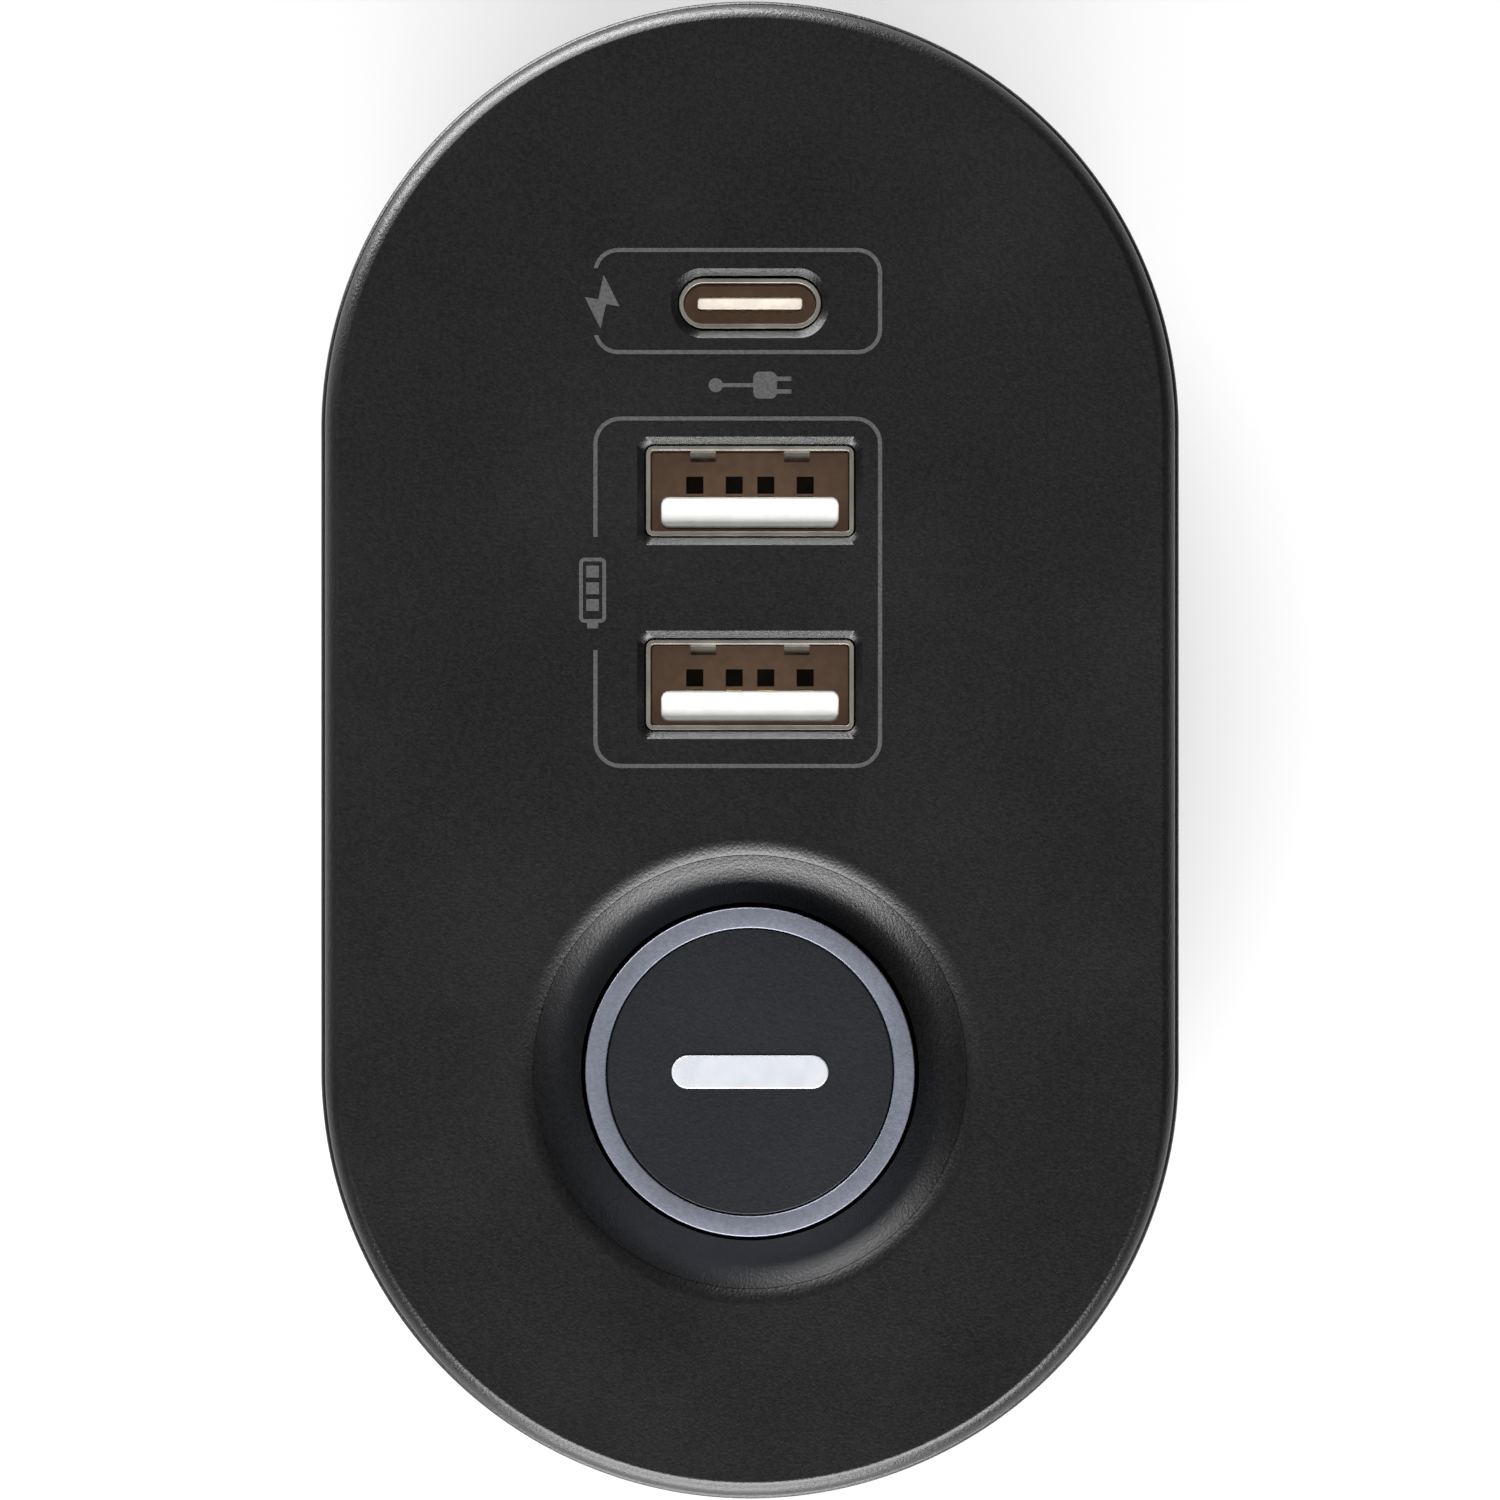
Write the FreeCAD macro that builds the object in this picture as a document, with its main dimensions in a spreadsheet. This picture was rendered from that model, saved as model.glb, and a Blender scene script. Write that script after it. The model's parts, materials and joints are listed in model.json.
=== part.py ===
"""Free-standing desk power strip: a pill-shaped tower with USB ports and a push button on top.

Millimetres.  +Z is up, X is the long side of the plan, the three-outlet flat faces -Y.
The origin is the middle of the footprint, on the plane that the feet stand on.
"""
import FreeCAD, Part
import Sketcher
import math
import os
import re
from FreeCAD import Placement, Rotation, Vector

doc = FreeCAD.newDocument("desk_power_strip")
sheet = doc.addObject("Spreadsheet::Sheet", "dims")

SIZES = [
    # housing
    ("body_length", 94.3), ("body_width", 54.0), ("face_height", 130.0), ("wall", 2.4),
    ("fit", 0.1), ("foot_height", 2.0), ("base_plate", 2.0), ("edge_round", 1.0),
    ("cover_edge", 1.2), ("cover_inset", 0.25), ("cover_plate", 3.0), ("skirt_wall", 1.6),
    ("skirt_depth", 5.0), ("rim_chamfer", 0.2),
    # push button and its dish
    ("button_x", 20.25), ("dish_width", 3.58), ("dish_depth", 1.9), ("dish_curve", 14.0),
    ("ring_radius", 10.35), ("ring_wall", 1.29), ("ring_rise", 0.6), ("cap_rise", 0.45),
    ("cap_depth", 6.0), ("cap_top_wall", 2.0), ("cap_side_wall", 1.4), ("cap_flange", 1.5),
    ("button_gap", 0.3), ("collar_wall", 1.55), ("collar_depth", 8.0), ("button_travel", 3.0),
    ("bar_length", 9.87), ("bar_width", 2.1), ("bar_depth", 0.6), ("bar_fit", 0.05),
    # push switch
    ("switch_drop", 13.0), ("switch_length", 18.0), ("switch_width", 13.0),
    ("switch_height", 16.0), ("ear_span", 37.4), ("ear_width", 8.0), ("ear_thickness", 2.0),
    ("ear_screw_y", 16.0), ("plunger_radius", 2.2), ("plunger_fit", 0.1),
    ("plunger_depth", 9.0), ("plunger_top", 4.0), ("stem_radius", 2.6),
    ("return_radius", 4.2), ("return_wire", 0.5), ("return_pitch", 2.2),
    ("tab_width", 3.3), ("tab_thickness", 0.8), ("tab_length", 8.0), ("tab_pitch", 12.0),
    ("tab_y", 3.0), ("switch_corner", 1.0), ("plunger_spare", 1.0),
    ("post_radius", 2.5), ("screw_radius", 1.2), ("screw_head", 2.2), ("head_height", 1.6),
    ("screw_bite", 5.5), ("bore_fit", 0.05),
    # USB ports
    ("port_c_x", -28.1), ("port_a_x", -16.3), ("port_pitch", 12.2), ("port_drop", 0.5),
    ("receptacle_depth", 15.0), ("shell_wall", 0.3), ("port_chamfer", 0.45),
    ("c_length", 8.94), ("c_width", 3.16), ("c_hole_gap", 0.16), ("c_tongue_length", 6.6),
    ("c_tongue", 0.75), ("c_tongue_drop", 0.7), ("insulator_base", 5.0), ("contact_gap", 0.1),
    ("a_length", 13.1), ("a_width", 5.7), ("a_hole_gap", 0.1), ("a_corner", 0.5),
    ("a_tongue_length", 11.2), ("a_tongue", 1.95), ("a_tongue_shift", 1.35),
    ("a_tongue_drop", 0.7), ("a_contact_width", 1.0), ("a_contact_gauge", 0.2),
    ("a_contact_inner", 1.0), ("a_contact_outer", 3.5), ("a_contact_drop", 1.5),
    ("c_contact_width", 0.34), ("c_contact_pitch", 0.72), ("c_contact_drop", 0.8),
    ("finger_y", 2.95), ("finger_width", 1.6), ("finger_length", 7.0), ("finger_bend", 0.55),
    ("finger_drop", 1.2), ("finger_gauge", 0.25), ("finger_tip", 0.2), ("finger_root", 1.4),
    ("finger_middle", 4.2),
    ("board_thickness", 1.6), ("usb_board_length", 42.5), ("usb_board_width", 24.0),
    ("usb_board_corner", 1.5),
    ("usb_board_x", -16.75), ("board_post_near", 1.8), ("board_post_far", -33.5),
    ("near_post_y", 9.5), ("far_post_y", 8.0),
    # outlets
    ("outlet_drop", 36.0), ("outlet_pitch", 34.0), ("opening_width", 34.0),
    ("opening_height", 28.0), ("opening_corner", 3.0), ("insert_gap", 0.15),
    ("insert_recess", 0.5), ("flange_margin", 1.6), ("flange", 1.6), ("blade_spacing", 12.7),
    ("blade_rise", 3.6), ("ground_drop", 11.9), ("slot_width", 2.1), ("line_slot", 7.4),
    ("neutral_slot", 8.8), ("ground_radius", 2.75), ("shutter_length", 24.0),
    ("shutter_height", 10.0), ("shutter_thickness", 2.4), ("shutter_travel", 3.0),
    ("shutter_gap", 0.3), ("window_gap", 0.3), ("spring_room", 5.5), ("spring_radius", 1.0),
    ("spring_wire", 0.3),
    ("spring_pitch", 0.9), ("carrier_wall", 1.5), ("contact_room", 10.0),
    ("carrier_inset", 0.4), ("channel_width", 5.4), ("ground_channel", 5.8),
    ("window_margin", 0.35), ("strip_thickness", 0.8), ("leaf_gauge", 0.5),
    ("leaf_height", 8.0), ("leaf_length", 7.5), ("leaf_root", 1.55), ("leaf_pinch", 0.6),
    ("ground_root", 2.2), ("ground_pinch", 1.9), ("ground_leaf_height", 6.0),
    ("leaf_flare", 0.5), ("leaf_mouth", 2.0), ("bus_setback", 1.2), ("bus_overrun", 5.0),
    # mains inlet and reset breaker
    ("inlet_x", -7.0), ("inlet_height", 26.0), ("inlet_opening", 21.0),
    ("inlet_opening_height", 29.0), ("inlet_corner", 2.0), ("bezel_recess", 0.4),
    ("inlet_cavity", 17.0), ("inlet_cavity_height", 24.2), ("inlet_depth", 15.0),
    ("inlet_back", 1.6), ("pin_width", 4.0), ("pin_thickness", 2.0), ("pin_spacing", 14.0),
    ("pin_shift", 2.0), ("pin_setback", 2.0), ("pin_tail", 6.0), ("pin_fit", 0.05),
    ("inlet_flange", 0.8), ("inlet_wall", 1.5), ("cavity_corner", 1.5),
    ("breaker_x", 12.0), ("breaker_width", 12.4), ("breaker_height", 24.0),
    ("breaker_depth", 20.0), ("bezel_radius", 6.0), ("bezel_gap", 0.15),
    ("reset_radius", 4.0), ("reset_fit", 0.1), ("reset_recess", 0.7), ("reset_length", 8.3),
    ("reset_travel", 2.5), ("reset_round", 0.5), ("reset_spare", 0.5),
    # base, ties and boards
    ("foot_radius", 6.0), ("foot_x", 22.0), ("foot_inset", 10.0), ("foot_seat", 0.8),
    ("foot_round", 0.6), ("tie_inset", 7.0), ("tie_bite_short", 1.0), ("tie_radius", 1.45),
    ("tie_head", 2.9), ("tie_head_height", 2.4),
    ("tie_post", 3.2), ("tie_post_depth", 14.0), ("boss_gap", 0.4), ("boss_top", 8.0),
    ("counterbore", 3.0), ("weight_length", 52.0), ("weight_margin", 14.0),
    ("weight_thickness", 5.4), ("weight_corner", 6.0), ("rail_gap", 2.6),
    ("rail_thickness", 1.1), ("rail_depth", 2.5), ("rail_bottom", 11.0),
    ("rail_headroom", 20.0), ("board_gap", 1.1), ("board_bottom", 12.0),
    ("board_headroom", 22.0), ("surge_height", 60.0),
    # parts on the boards: heights are above the board's lower edge
    ("core_rise", 34.0), ("core_depth", 16.0), ("core_width", 14.0), ("core_height", 18.0),
    ("winding_rise", 36.5), ("winding_depth", 12.0), ("winding_width", 20.0),
    ("winding_height", 13.0), ("bulk_y", 5.5), ("bulk_rise", 18.0), ("bulk_radius", 6.0),
    ("bulk_length", 15.0), ("choke_y", 8.5), ("choke_rise", 18.0), ("choke_radius", 5.0),
    ("choke_wire", 2.4), ("sink_rise", 58.0), ("sink_base", 2.0), ("sink_width", 26.0),
    ("sink_height", 14.0), ("fin_depth", 11.0), ("fin_thickness", 1.2), ("fin_pitch", 6.0),
    ("output_rise", 83.0), ("output_radius", 4.0), ("output_length", 10.0),
    ("output_pitch", 10.0), ("varistor_radius", 7.0), ("varistor_length", 4.5),
    ("varistor_rise", 12.0), ("varistor_pitch", 17.0),
    # wires
    ("charger_wire", 0.8), ("charger_wire_y", 3.0), ("line_wire", 1.1), ("line_wire_run", 5.5),
    ("line_wire_rise", 20.0),
]
NAMES = {alias for alias, value in SIZES}
for row, (alias, value) in enumerate(SIZES, 1):
    sheet.set(f"A{row}", alias)
    sheet.set(f"B{row}", str(value))
    sheet.setAlias(f"B{row}", alias)
doc.recompute()

PARTS = []


# ---- sheet and sketch helpers --------------------------------------------------------------

def full(expression):
    """Put the sheet's name before each alias in an expression."""
    def named(word):
        return "dims." + word.group() if word.group() in NAMES else word.group()
    return re.sub(r"[a-z][a-z0-9_]*", named, str(expression))


def number(expression):
    """The present value of an expression."""
    return float(sheet.evalExpression(full(expression)))


def bind(thing, prop, expression):
    thing.setExpression(prop, full(expression))


def keep(thing, name):
    """Give a finished sub-part its label and put it on the list to be written."""
    thing.Label = name
    PARTS.append(thing)
    return thing


def new_body(name):
    return keep(doc.addObject("PartDesign::Body", "body"), name)


def sketch_on(body, plane, offset):
    sketch = body.newObject("Sketcher::SketchObject", "sketch")
    support = next(f for f in body.Origin.OriginFeatures if f.Role == plane)
    sketch.AttachmentSupport = [(support, "")]
    sketch.MapMode = "FlatFace"
    bind(sketch, ".AttachmentOffset.Base.z", offset)
    return sketch


def held(sketch, kind, *where):
    """Add a dimensional constraint; its last entry is an expression."""
    size = where[-1]
    index = sketch.addConstraint(Sketcher.Constraint(kind, *where[:-1], number(size)))
    bind(sketch, f"Constraints[{index}]", size)


def held_point(sketch, geometry, point, x, y):
    held(sketch, "DistanceX", -1, 1, geometry, point, x)
    held(sketch, "DistanceY", -1, 1, geometry, point, y)


def circle(sketch, x, y, radius):
    centre = Vector(number(x), number(y), 0)
    index = sketch.addGeometry(Part.Circle(centre, Vector(0, 0, 1), number(radius)), False)
    held_point(sketch, index, 3, x, y)
    held(sketch, "Radius", index, radius)


def polygon(sketch, points):
    corners = [Vector(number(x), number(y), 0) for x, y in points]
    first = sketch.GeometryCount
    for corner, following in zip(corners, corners[1:] + corners[:1]):
        sketch.addGeometry(Part.LineSegment(corner, following), False)
    for step, (x, y) in enumerate(points):
        following = first + (step + 1) % len(points)
        sketch.addConstraint(Sketcher.Constraint("Coincident", first + step, 2, following, 1))
        held_point(sketch, first + step, 1, x, y)


def rectangle(sketch, x, y, width, height):
    low_x, high_x = f"({x}) - ({width})/2", f"({x}) + ({width})/2"
    low_y, high_y = f"({y}) - ({height})/2", f"({y}) + ({height})/2"
    polygon(sketch, [(low_x, low_y), (high_x, low_y), (high_x, high_y), (low_x, high_y)])


def arcs_and_lines(sketch, centres, radius, spans):
    """A closed outline of equal arcs about the centres, each joined to the next by a tangent line."""
    first = sketch.GeometryCount
    size = number(radius)
    ends = []
    for (x, y), (start, stop) in zip(centres, spans):
        round_part = Part.Circle(Vector(number(x), number(y), 0), Vector(0, 0, 1), size)
        arc = Part.ArcOfCircle(round_part, math.radians(start), math.radians(stop))
        sketch.addGeometry(arc, False)
        ends.append((arc.StartPoint, arc.EndPoint))
    count = len(centres)
    for step in range(count):
        line = Part.LineSegment(ends[step][1], ends[(step + 1) % count][0])
        sketch.addGeometry(line, False)
    for step, (x, y) in enumerate(centres):
        arc, line = first + step, first + count + step
        following = first + (step + 1) % count
        sketch.addConstraint(Sketcher.Constraint("Tangent", arc, 2, line, 1))
        sketch.addConstraint(Sketcher.Constraint("Tangent", line, 2, following, 1))
        held_point(sketch, arc, 3, x, y)
        held(sketch, "Radius", arc, radius)


def stadium(sketch, x, y, length, width):
    """A pill outline, long along the sketch's x."""
    half = f"(({length}) - ({width}))/2"
    centres = [(f"({x}) + {half}", y), (f"({x}) - {half}", y)]
    arcs_and_lines(sketch, centres, f"({width})/2", [(-90, 90), (90, 270)])


def upright_stadium(sketch, x, y, length, width):
    """A pill outline, long along the sketch's y."""
    half = f"(({length}) - ({width}))/2"
    centres = [(x, f"({y}) + {half}"), (x, f"({y}) - {half}")]
    arcs_and_lines(sketch, centres, f"({width})/2", [(0, 180), (180, 360)])


def rounded(sketch, x, y, width, height, corner):
    across, up = f"(({width})/2 - ({corner}))", f"(({height})/2 - ({corner}))"
    centres = [(f"({x}) + {across}", f"({y}) - {up}"), (f"({x}) + {across}", f"({y}) + {up}"),
               (f"({x}) - {across}", f"({y}) + {up}"), (f"({x}) - {across}", f"({y}) - {up}")]
    arcs_and_lines(sketch, centres, corner, [(-90, 0), (0, 90), (90, 180), (180, 270)])


# ---- feature helpers -----------------------------------------------------------------------

def add(body, low, high, draw):
    """Pad the drawn outline from one height to another."""
    sketch = sketch_on(body, "XY_Plane", low)
    draw(sketch)
    pad = body.newObject("PartDesign::Pad", "pad")
    pad.Profile = sketch
    bind(pad, "Length", f"({high}) - ({low})")
    return pad


def cut(body, low, high, draw):
    """Pocket the drawn outline between two heights."""
    sketch = sketch_on(body, "XY_Plane", high)
    draw(sketch)
    pocket = body.newObject("PartDesign::Pocket", "pocket")
    pocket.Profile = sketch
    bind(pocket, "Length", f"({high}) - ({low})")
    return pocket


def add_across(body, at_y, thickness, draw):
    """Pad an outline drawn in x and z, centred on a distance along y."""
    sketch = sketch_on(body, "XZ_Plane", f"-({at_y})")
    draw(sketch)
    pad = body.newObject("PartDesign::Pad", "pad")
    pad.Profile = sketch
    pad.Midplane = True
    bind(pad, "Length", thickness)
    return pad


def dress(body, kind, size, wanted):
    """Round or chamfer the edges of the body that the test picks."""
    doc.recompute()
    base = body.Tip
    edges = [f"Edge{i}" for i, edge in enumerate(base.Shape.Edges, 1) if wanted(edge.BoundBox)]
    feature = body.newObject("PartDesign::" + kind, kind.lower())
    feature.Base = (base, edges)
    bind(feature, "Radius" if kind == "Fillet" else "Size", size)
    return feature


def flat_at(height):
    """A test for edges that lie level at one height."""
    level = number(height)
    return lambda box: abs(box.ZMin - level) < 1e-4 and abs(box.ZMax - level) < 1e-4


def box_solid(x, y, z, length, width, height):
    """A block centred on x and y that stands on z."""
    block = doc.addObject("Part::Box", "block")
    bind(block, "Length", length)
    bind(block, "Width", width)
    bind(block, "Height", height)
    bind(block, "Placement.Base.x", f"({x}) - ({length})/2")
    bind(block, "Placement.Base.y", f"({y}) - ({width})/2")
    bind(block, "Placement.Base.z", z)
    return block


def round_solid(x, y, z, radius, height, turn=None):
    """A cylinder that rises from a point along z, or along the way that turn sends z."""
    bar = doc.addObject("Part::Cylinder", "round")
    bar.Placement = Placement(Vector(), turn or Rotation())
    bind(bar, "Radius", radius)
    bind(bar, "Height", height)
    bind(bar, "Placement.Base.x", x)
    bind(bar, "Placement.Base.y", y)
    bind(bar, "Placement.Base.z", z)
    return bar


def join(name, pieces):
    whole = doc.addObject("Part::MultiFuse", "whole")
    whole.Shapes = pieces
    return keep(whole, name)


def group(name, pieces):
    """Several separate solids in one node."""
    whole = doc.addObject("Part::Compound", "group")
    whole.Links = pieces
    return keep(whole, name)


FRONT = Rotation(Vector(1, 0, 0), 90)
REAR = Rotation(Vector(0, 0, 1), 180).multiply(FRONT)
TOWARDS_MINUS_X = Rotation(Vector(0, 1, 0), -90)
TOWARDS_PLUS_X = Rotation(Vector(0, 1, 0), 90)
SIDES = {"front": (FRONT, "-body_width/2"), "rear": (REAR, "body_width/2")}


def seat_on_flat(piece, side, x, height):
    """Place a piece drawn as seen on a flat: x across, y up, z outwards from the housing face."""
    turn, surface = SIDES[side]
    piece.Placement = Placement(Vector(), turn)
    bind(piece, "Placement.Base.x", x)
    bind(piece, "Placement.Base.y", surface)
    bind(piece, "Placement.Base.z", height)
    return piece


# ---- shared heights and places, as expressions ---------------------------------------------

COVER_SEAT = "(face_height - cover_edge)"
PLATE_UNDER = "(face_height - cover_plate)"
SKIRT_END = f"({PLATE_UNDER} - skirt_depth)"
SLEEVE_BOTTOM = "(foot_height + base_plate)"
INNER_LENGTH = "(body_length - 2*wall)"
INNER_WIDTH = "(body_width - 2*wall)"
SWITCH_TOP = "(face_height - switch_drop)"
BORE_RADIUS = "(ring_radius + button_gap)"
CAP_RADIUS = "(ring_radius - ring_wall - bore_fit)"
USB_BOARD_TOP = "(face_height - receptacle_depth)"
DISH_RADIUS = "(ring_radius + dish_width)"
TIE_X = "((body_length - body_width)/2 + (body_width/2 - tie_inset)*cos(45))"
TIE_Y = "((body_width/2 - tie_inset)*sin(45))"
FOOT_Y = "(body_width/2 - foot_inset)"
OUTLET_TOP = "(face_height - outlet_drop)"
CARRIER_WIDTH = "(opening_width + 2*flange_margin - 2*carrier_inset)"
RAIL_X = "(opening_width/2 + flange_margin + rail_gap)"
SIDE_BOARD_WIDTH = "(body_width - 2*wall - 2*board_gap)"
CHARGER_HEIGHT = "(face_height - board_headroom - board_bottom)"
FLANGE_BACK = "(wall + flange)"
SHUTTER_ROOM = "(shutter_thickness + 2*shutter_gap)"
CONTACT_FRONT = f"({FLANGE_BACK} + {SHUTTER_ROOM} + carrier_wall)"
CARRIER_BACK = f"({CONTACT_FRONT} + contact_room)"
BUS_UNDER = f"({CARRIER_BACK} - bus_setback)"
BLADE_X = "(blade_spacing/2)"
GROUND_Y = "(blade_rise - ground_drop)"
FRONT_OUTLETS = [OUTLET_TOP, f"({OUTLET_TOP} - outlet_pitch)", f"({OUTLET_TOP} - 2*outlet_pitch)"]
REAR_OUTLETS = FRONT_OUTLETS[:2]
OUTLETS = [("front", z) for z in FRONT_OUTLETS] + [("rear", z) for z in REAR_OUTLETS]
CORNERS = [(-1, -1), (1, -1), (1, 1), (-1, 1)]
BOARD_POSTS = [("board_post_near", "near_post_y"), ("board_post_near", "-near_post_y"),
               ("board_post_far", "far_post_y"), ("board_post_far", "-far_post_y")]
EAR_POSTS = [("button_x", "ear_screw_y"), ("button_x", "-ear_screw_y")]
A_PORTS = ["port_a_x", "port_a_x + port_pitch"]


# ---- housing -------------------------------------------------------------------------------

def dish_profile(sketch):
    """Half section of the dish and the button's bore: x is the radius, y the height."""
    top, lip = "face_height + 1", "face_height - dish_depth"
    below = "face_height - collar_depth - 1"
    outer = Vector(number(DISH_RADIUS), number("face_height"), 0)
    inner = Vector(number(BORE_RADIUS), number(lip), 0)
    middle, chord = (outer + inner) * 0.5, outer - inner
    curve = number("dish_curve")
    rise = math.sqrt(curve ** 2 - (chord.Length / 2) ** 2)
    centre = middle + Vector(-chord.y, chord.x, 0) * (rise / chord.Length)
    start = math.atan2(inner.y - centre.y, inner.x - centre.x)
    stop = math.atan2(outer.y - centre.y, outer.x - centre.x)
    round_part = Part.Circle(centre, Vector(0, 0, 1), curve)
    sketch.addGeometry(Part.ArcOfCircle(round_part, start, stop), False)
    corners = [(DISH_RADIUS, "face_height"), (DISH_RADIUS, top), ("0", top), ("0", below),
               (BORE_RADIUS, below), (BORE_RADIUS, lip)]
    points = [Vector(number(x), number(y), 0) for x, y in corners]
    for step in range(5):
        sketch.addGeometry(Part.LineSegment(points[step], points[step + 1]), False)
    sketch.addConstraint(Sketcher.Constraint("Coincident", 0, 2, 1, 1))
    sketch.addConstraint(Sketcher.Constraint("Coincident", 5, 2, 0, 1))
    for step in range(1, 5):
        sketch.addConstraint(Sketcher.Constraint("Coincident", step, 2, step + 1, 1))
    for step in range(5):
        held_point(sketch, step + 1, 1, *corners[step])
    held_point(sketch, 5, 2, *corners[5])
    held(sketch, "Radius", 0, "dish_curve")


def cut_dish(body):
    sketch = sketch_on(body, "XZ_Plane", 0)
    bind(sketch, ".AttachmentOffset.Base.x", "button_x")
    dish_profile(sketch)
    groove = body.newObject("PartDesign::Groove", "dish")
    groove.Profile = sketch
    groove.ReferenceAxis = (sketch, ["V_Axis"])
    groove.Angle = 360


def tie_places():
    return [(f"{a}*{TIE_X}", f"{b}*{TIE_Y}") for a, b in CORNERS]


def make_top_cover():
    body = new_body("top_cover")
    add(body, COVER_SEAT, "face_height", lambda s: stadium(
        s, 0, 0, "body_length - 2*cover_inset", "body_width - 2*cover_inset"))
    dress(body, "Fillet", "edge_round", flat_at("face_height"))
    add(body, PLATE_UNDER, COVER_SEAT, lambda s: stadium(
        s, 0, 0, f"{INNER_LENGTH} - 2*fit", f"{INNER_WIDTH} - 2*fit"))

    def skirt(sketch):
        stadium(sketch, 0, 0, f"{INNER_LENGTH} - 2*fit", f"{INNER_WIDTH} - 2*fit")
        inset = "2*(fit + skirt_wall)"
        stadium(sketch, 0, 0, f"{INNER_LENGTH} - {inset}", f"{INNER_WIDTH} - {inset}")
    add(body, SKIRT_END, PLATE_UNDER, skirt)
    for x, y in tie_places():
        add(body, "face_height - tie_post_depth", PLATE_UNDER,
            lambda s: circle(s, x, y, "tie_post"))
        cut(body, "face_height - tie_post_depth", PLATE_UNDER,
            lambda s: circle(s, x, y, "tie_radius + bore_fit"))
    for places, foot in ((BOARD_POSTS, USB_BOARD_TOP), (EAR_POSTS, SWITCH_TOP)):
        for x, y in places:
            add(body, foot, PLATE_UNDER, lambda s: circle(s, x, y, "post_radius"))
            cut(body, foot, f"{foot} + screw_bite + 1",
                lambda s: circle(s, x, y, "screw_radius + bore_fit"))
    add(body, "face_height - collar_depth", PLATE_UNDER,
        lambda s: circle(s, "button_x", 0, f"{BORE_RADIUS} + collar_wall"))
    cut_dish(body)
    cut_ports(body)
    return body


def cut_ports(body):
    """The USB cut-outs, each with a chamfered mouth."""
    cut(body, PLATE_UNDER, "face_height", lambda s: upright_stadium(
        s, "port_c_x", 0, "c_length + c_hole_gap", "c_width + 2*c_hole_gap"))
    for x in A_PORTS:
        cut(body, PLATE_UNDER, "face_height", lambda s: rounded(
            s, x, 0, "a_width + 2*a_hole_gap", "a_length + 2*a_hole_gap", "a_corner + a_hole_gap"))
    level = flat_at("face_height")
    left, right = number("port_c_x - c_width"), number("port_a_x + port_pitch + a_width")
    reach = number("a_length")
    dress(body, "Chamfer", "port_chamfer", lambda box: level(box) and box.XMin > left
          and box.XMax < right and abs(box.YMin) < reach)


def make_sleeve():
    body = new_body("housing_sleeve")

    def tube(sketch):
        stadium(sketch, 0, 0, "body_length", "body_width")
        stadium(sketch, 0, 0, INNER_LENGTH, INNER_WIDTH)
    add(body, SLEEVE_BOTTOM, COVER_SEAT, tube)
    outside = number("body_width/2") - 0.01
    level = flat_at(COVER_SEAT)
    dress(body, "Chamfer", "rim_chamfer",
          lambda box: level(box) and max(abs(box.YMin), abs(box.YMax)) > outside)
    for side, height in OUTLETS:
        open_flat(body, side, lambda s: rounded(
            s, 0, height, "opening_width", "opening_height", "opening_corner"))
    open_flat(body, "rear", lambda s: rounded(
        s, "inlet_x", "inlet_height", "inlet_opening", "inlet_opening_height", "inlet_corner"))
    open_flat(body, "rear", lambda s: circle(
        s, "breaker_x", "inlet_height", "bezel_radius + bezel_gap"))
    add_rails(body)
    return body


def open_flat(body, side, draw):
    """Cut an opening through one flat of the sleeve."""
    sketch = sketch_on(body, "XZ_Plane", "body_width/2" if side == "front" else "-body_width/2")
    draw(sketch)
    pocket = body.newObject("PartDesign::Pocket", "opening")
    pocket.Profile = sketch
    pocket.Reversed = side == "rear"
    bind(pocket, "Length", "wall + 1")


def add_rails(body):
    """Pairs of ribs that hold the two upright boards by their edges."""
    centre = RAIL_X + " + {0}*(board_thickness/2 + fit + rail_thickness/2)"
    depth = "rail_depth + wall/2"
    y = "(body_width/2 - wall/2 - (rail_depth + wall/2)/2)"
    for a, b in CORNERS:
        for side in (-1, 1):
            add(body, "rail_bottom", "face_height - rail_headroom", lambda s: rectangle(
                s, f"{a}*({centre.format(side)})", f"{b}*{y}", "rail_thickness", depth))


def make_base_cover():
    body = new_body("base_cover")
    add(body, "foot_height", SLEEVE_BOTTOM, lambda s: stadium(s, 0, 0, "body_length", "body_width"))
    dress(body, "Fillet", "edge_round", flat_at("foot_height"))

    def skirt(sketch):
        stadium(sketch, 0, 0, f"{INNER_LENGTH} - 2*fit", f"{INNER_WIDTH} - 2*fit")
        inset = "2*(fit + skirt_wall)"
        stadium(sketch, 0, 0, f"{INNER_LENGTH} - {inset}", f"{INNER_WIDTH} - {inset}")
    add(body, SLEEVE_BOTTOM, f"{SLEEVE_BOTTOM} + skirt_depth", skirt)
    for x, y in tie_places():
        add(body, SLEEVE_BOTTOM, "boss_top", lambda s: circle(s, x, y, "tie_inset - wall - boss_gap"))
    for x, y in tie_places():
        cut(body, "foot_height", "boss_top", lambda s: circle(s, x, y, "tie_radius + 2*fit"))
        cut(body, "foot_height", "foot_height + counterbore",
            lambda s: circle(s, x, y, "tie_head + 2*fit"))
    for a, b in CORNERS:
        cut(body, "foot_height", "foot_height + foot_seat",
            lambda s: circle(s, f"{a}*foot_x", f"{b}*{FOOT_Y}", "foot_radius + fit"))
    return body


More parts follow.
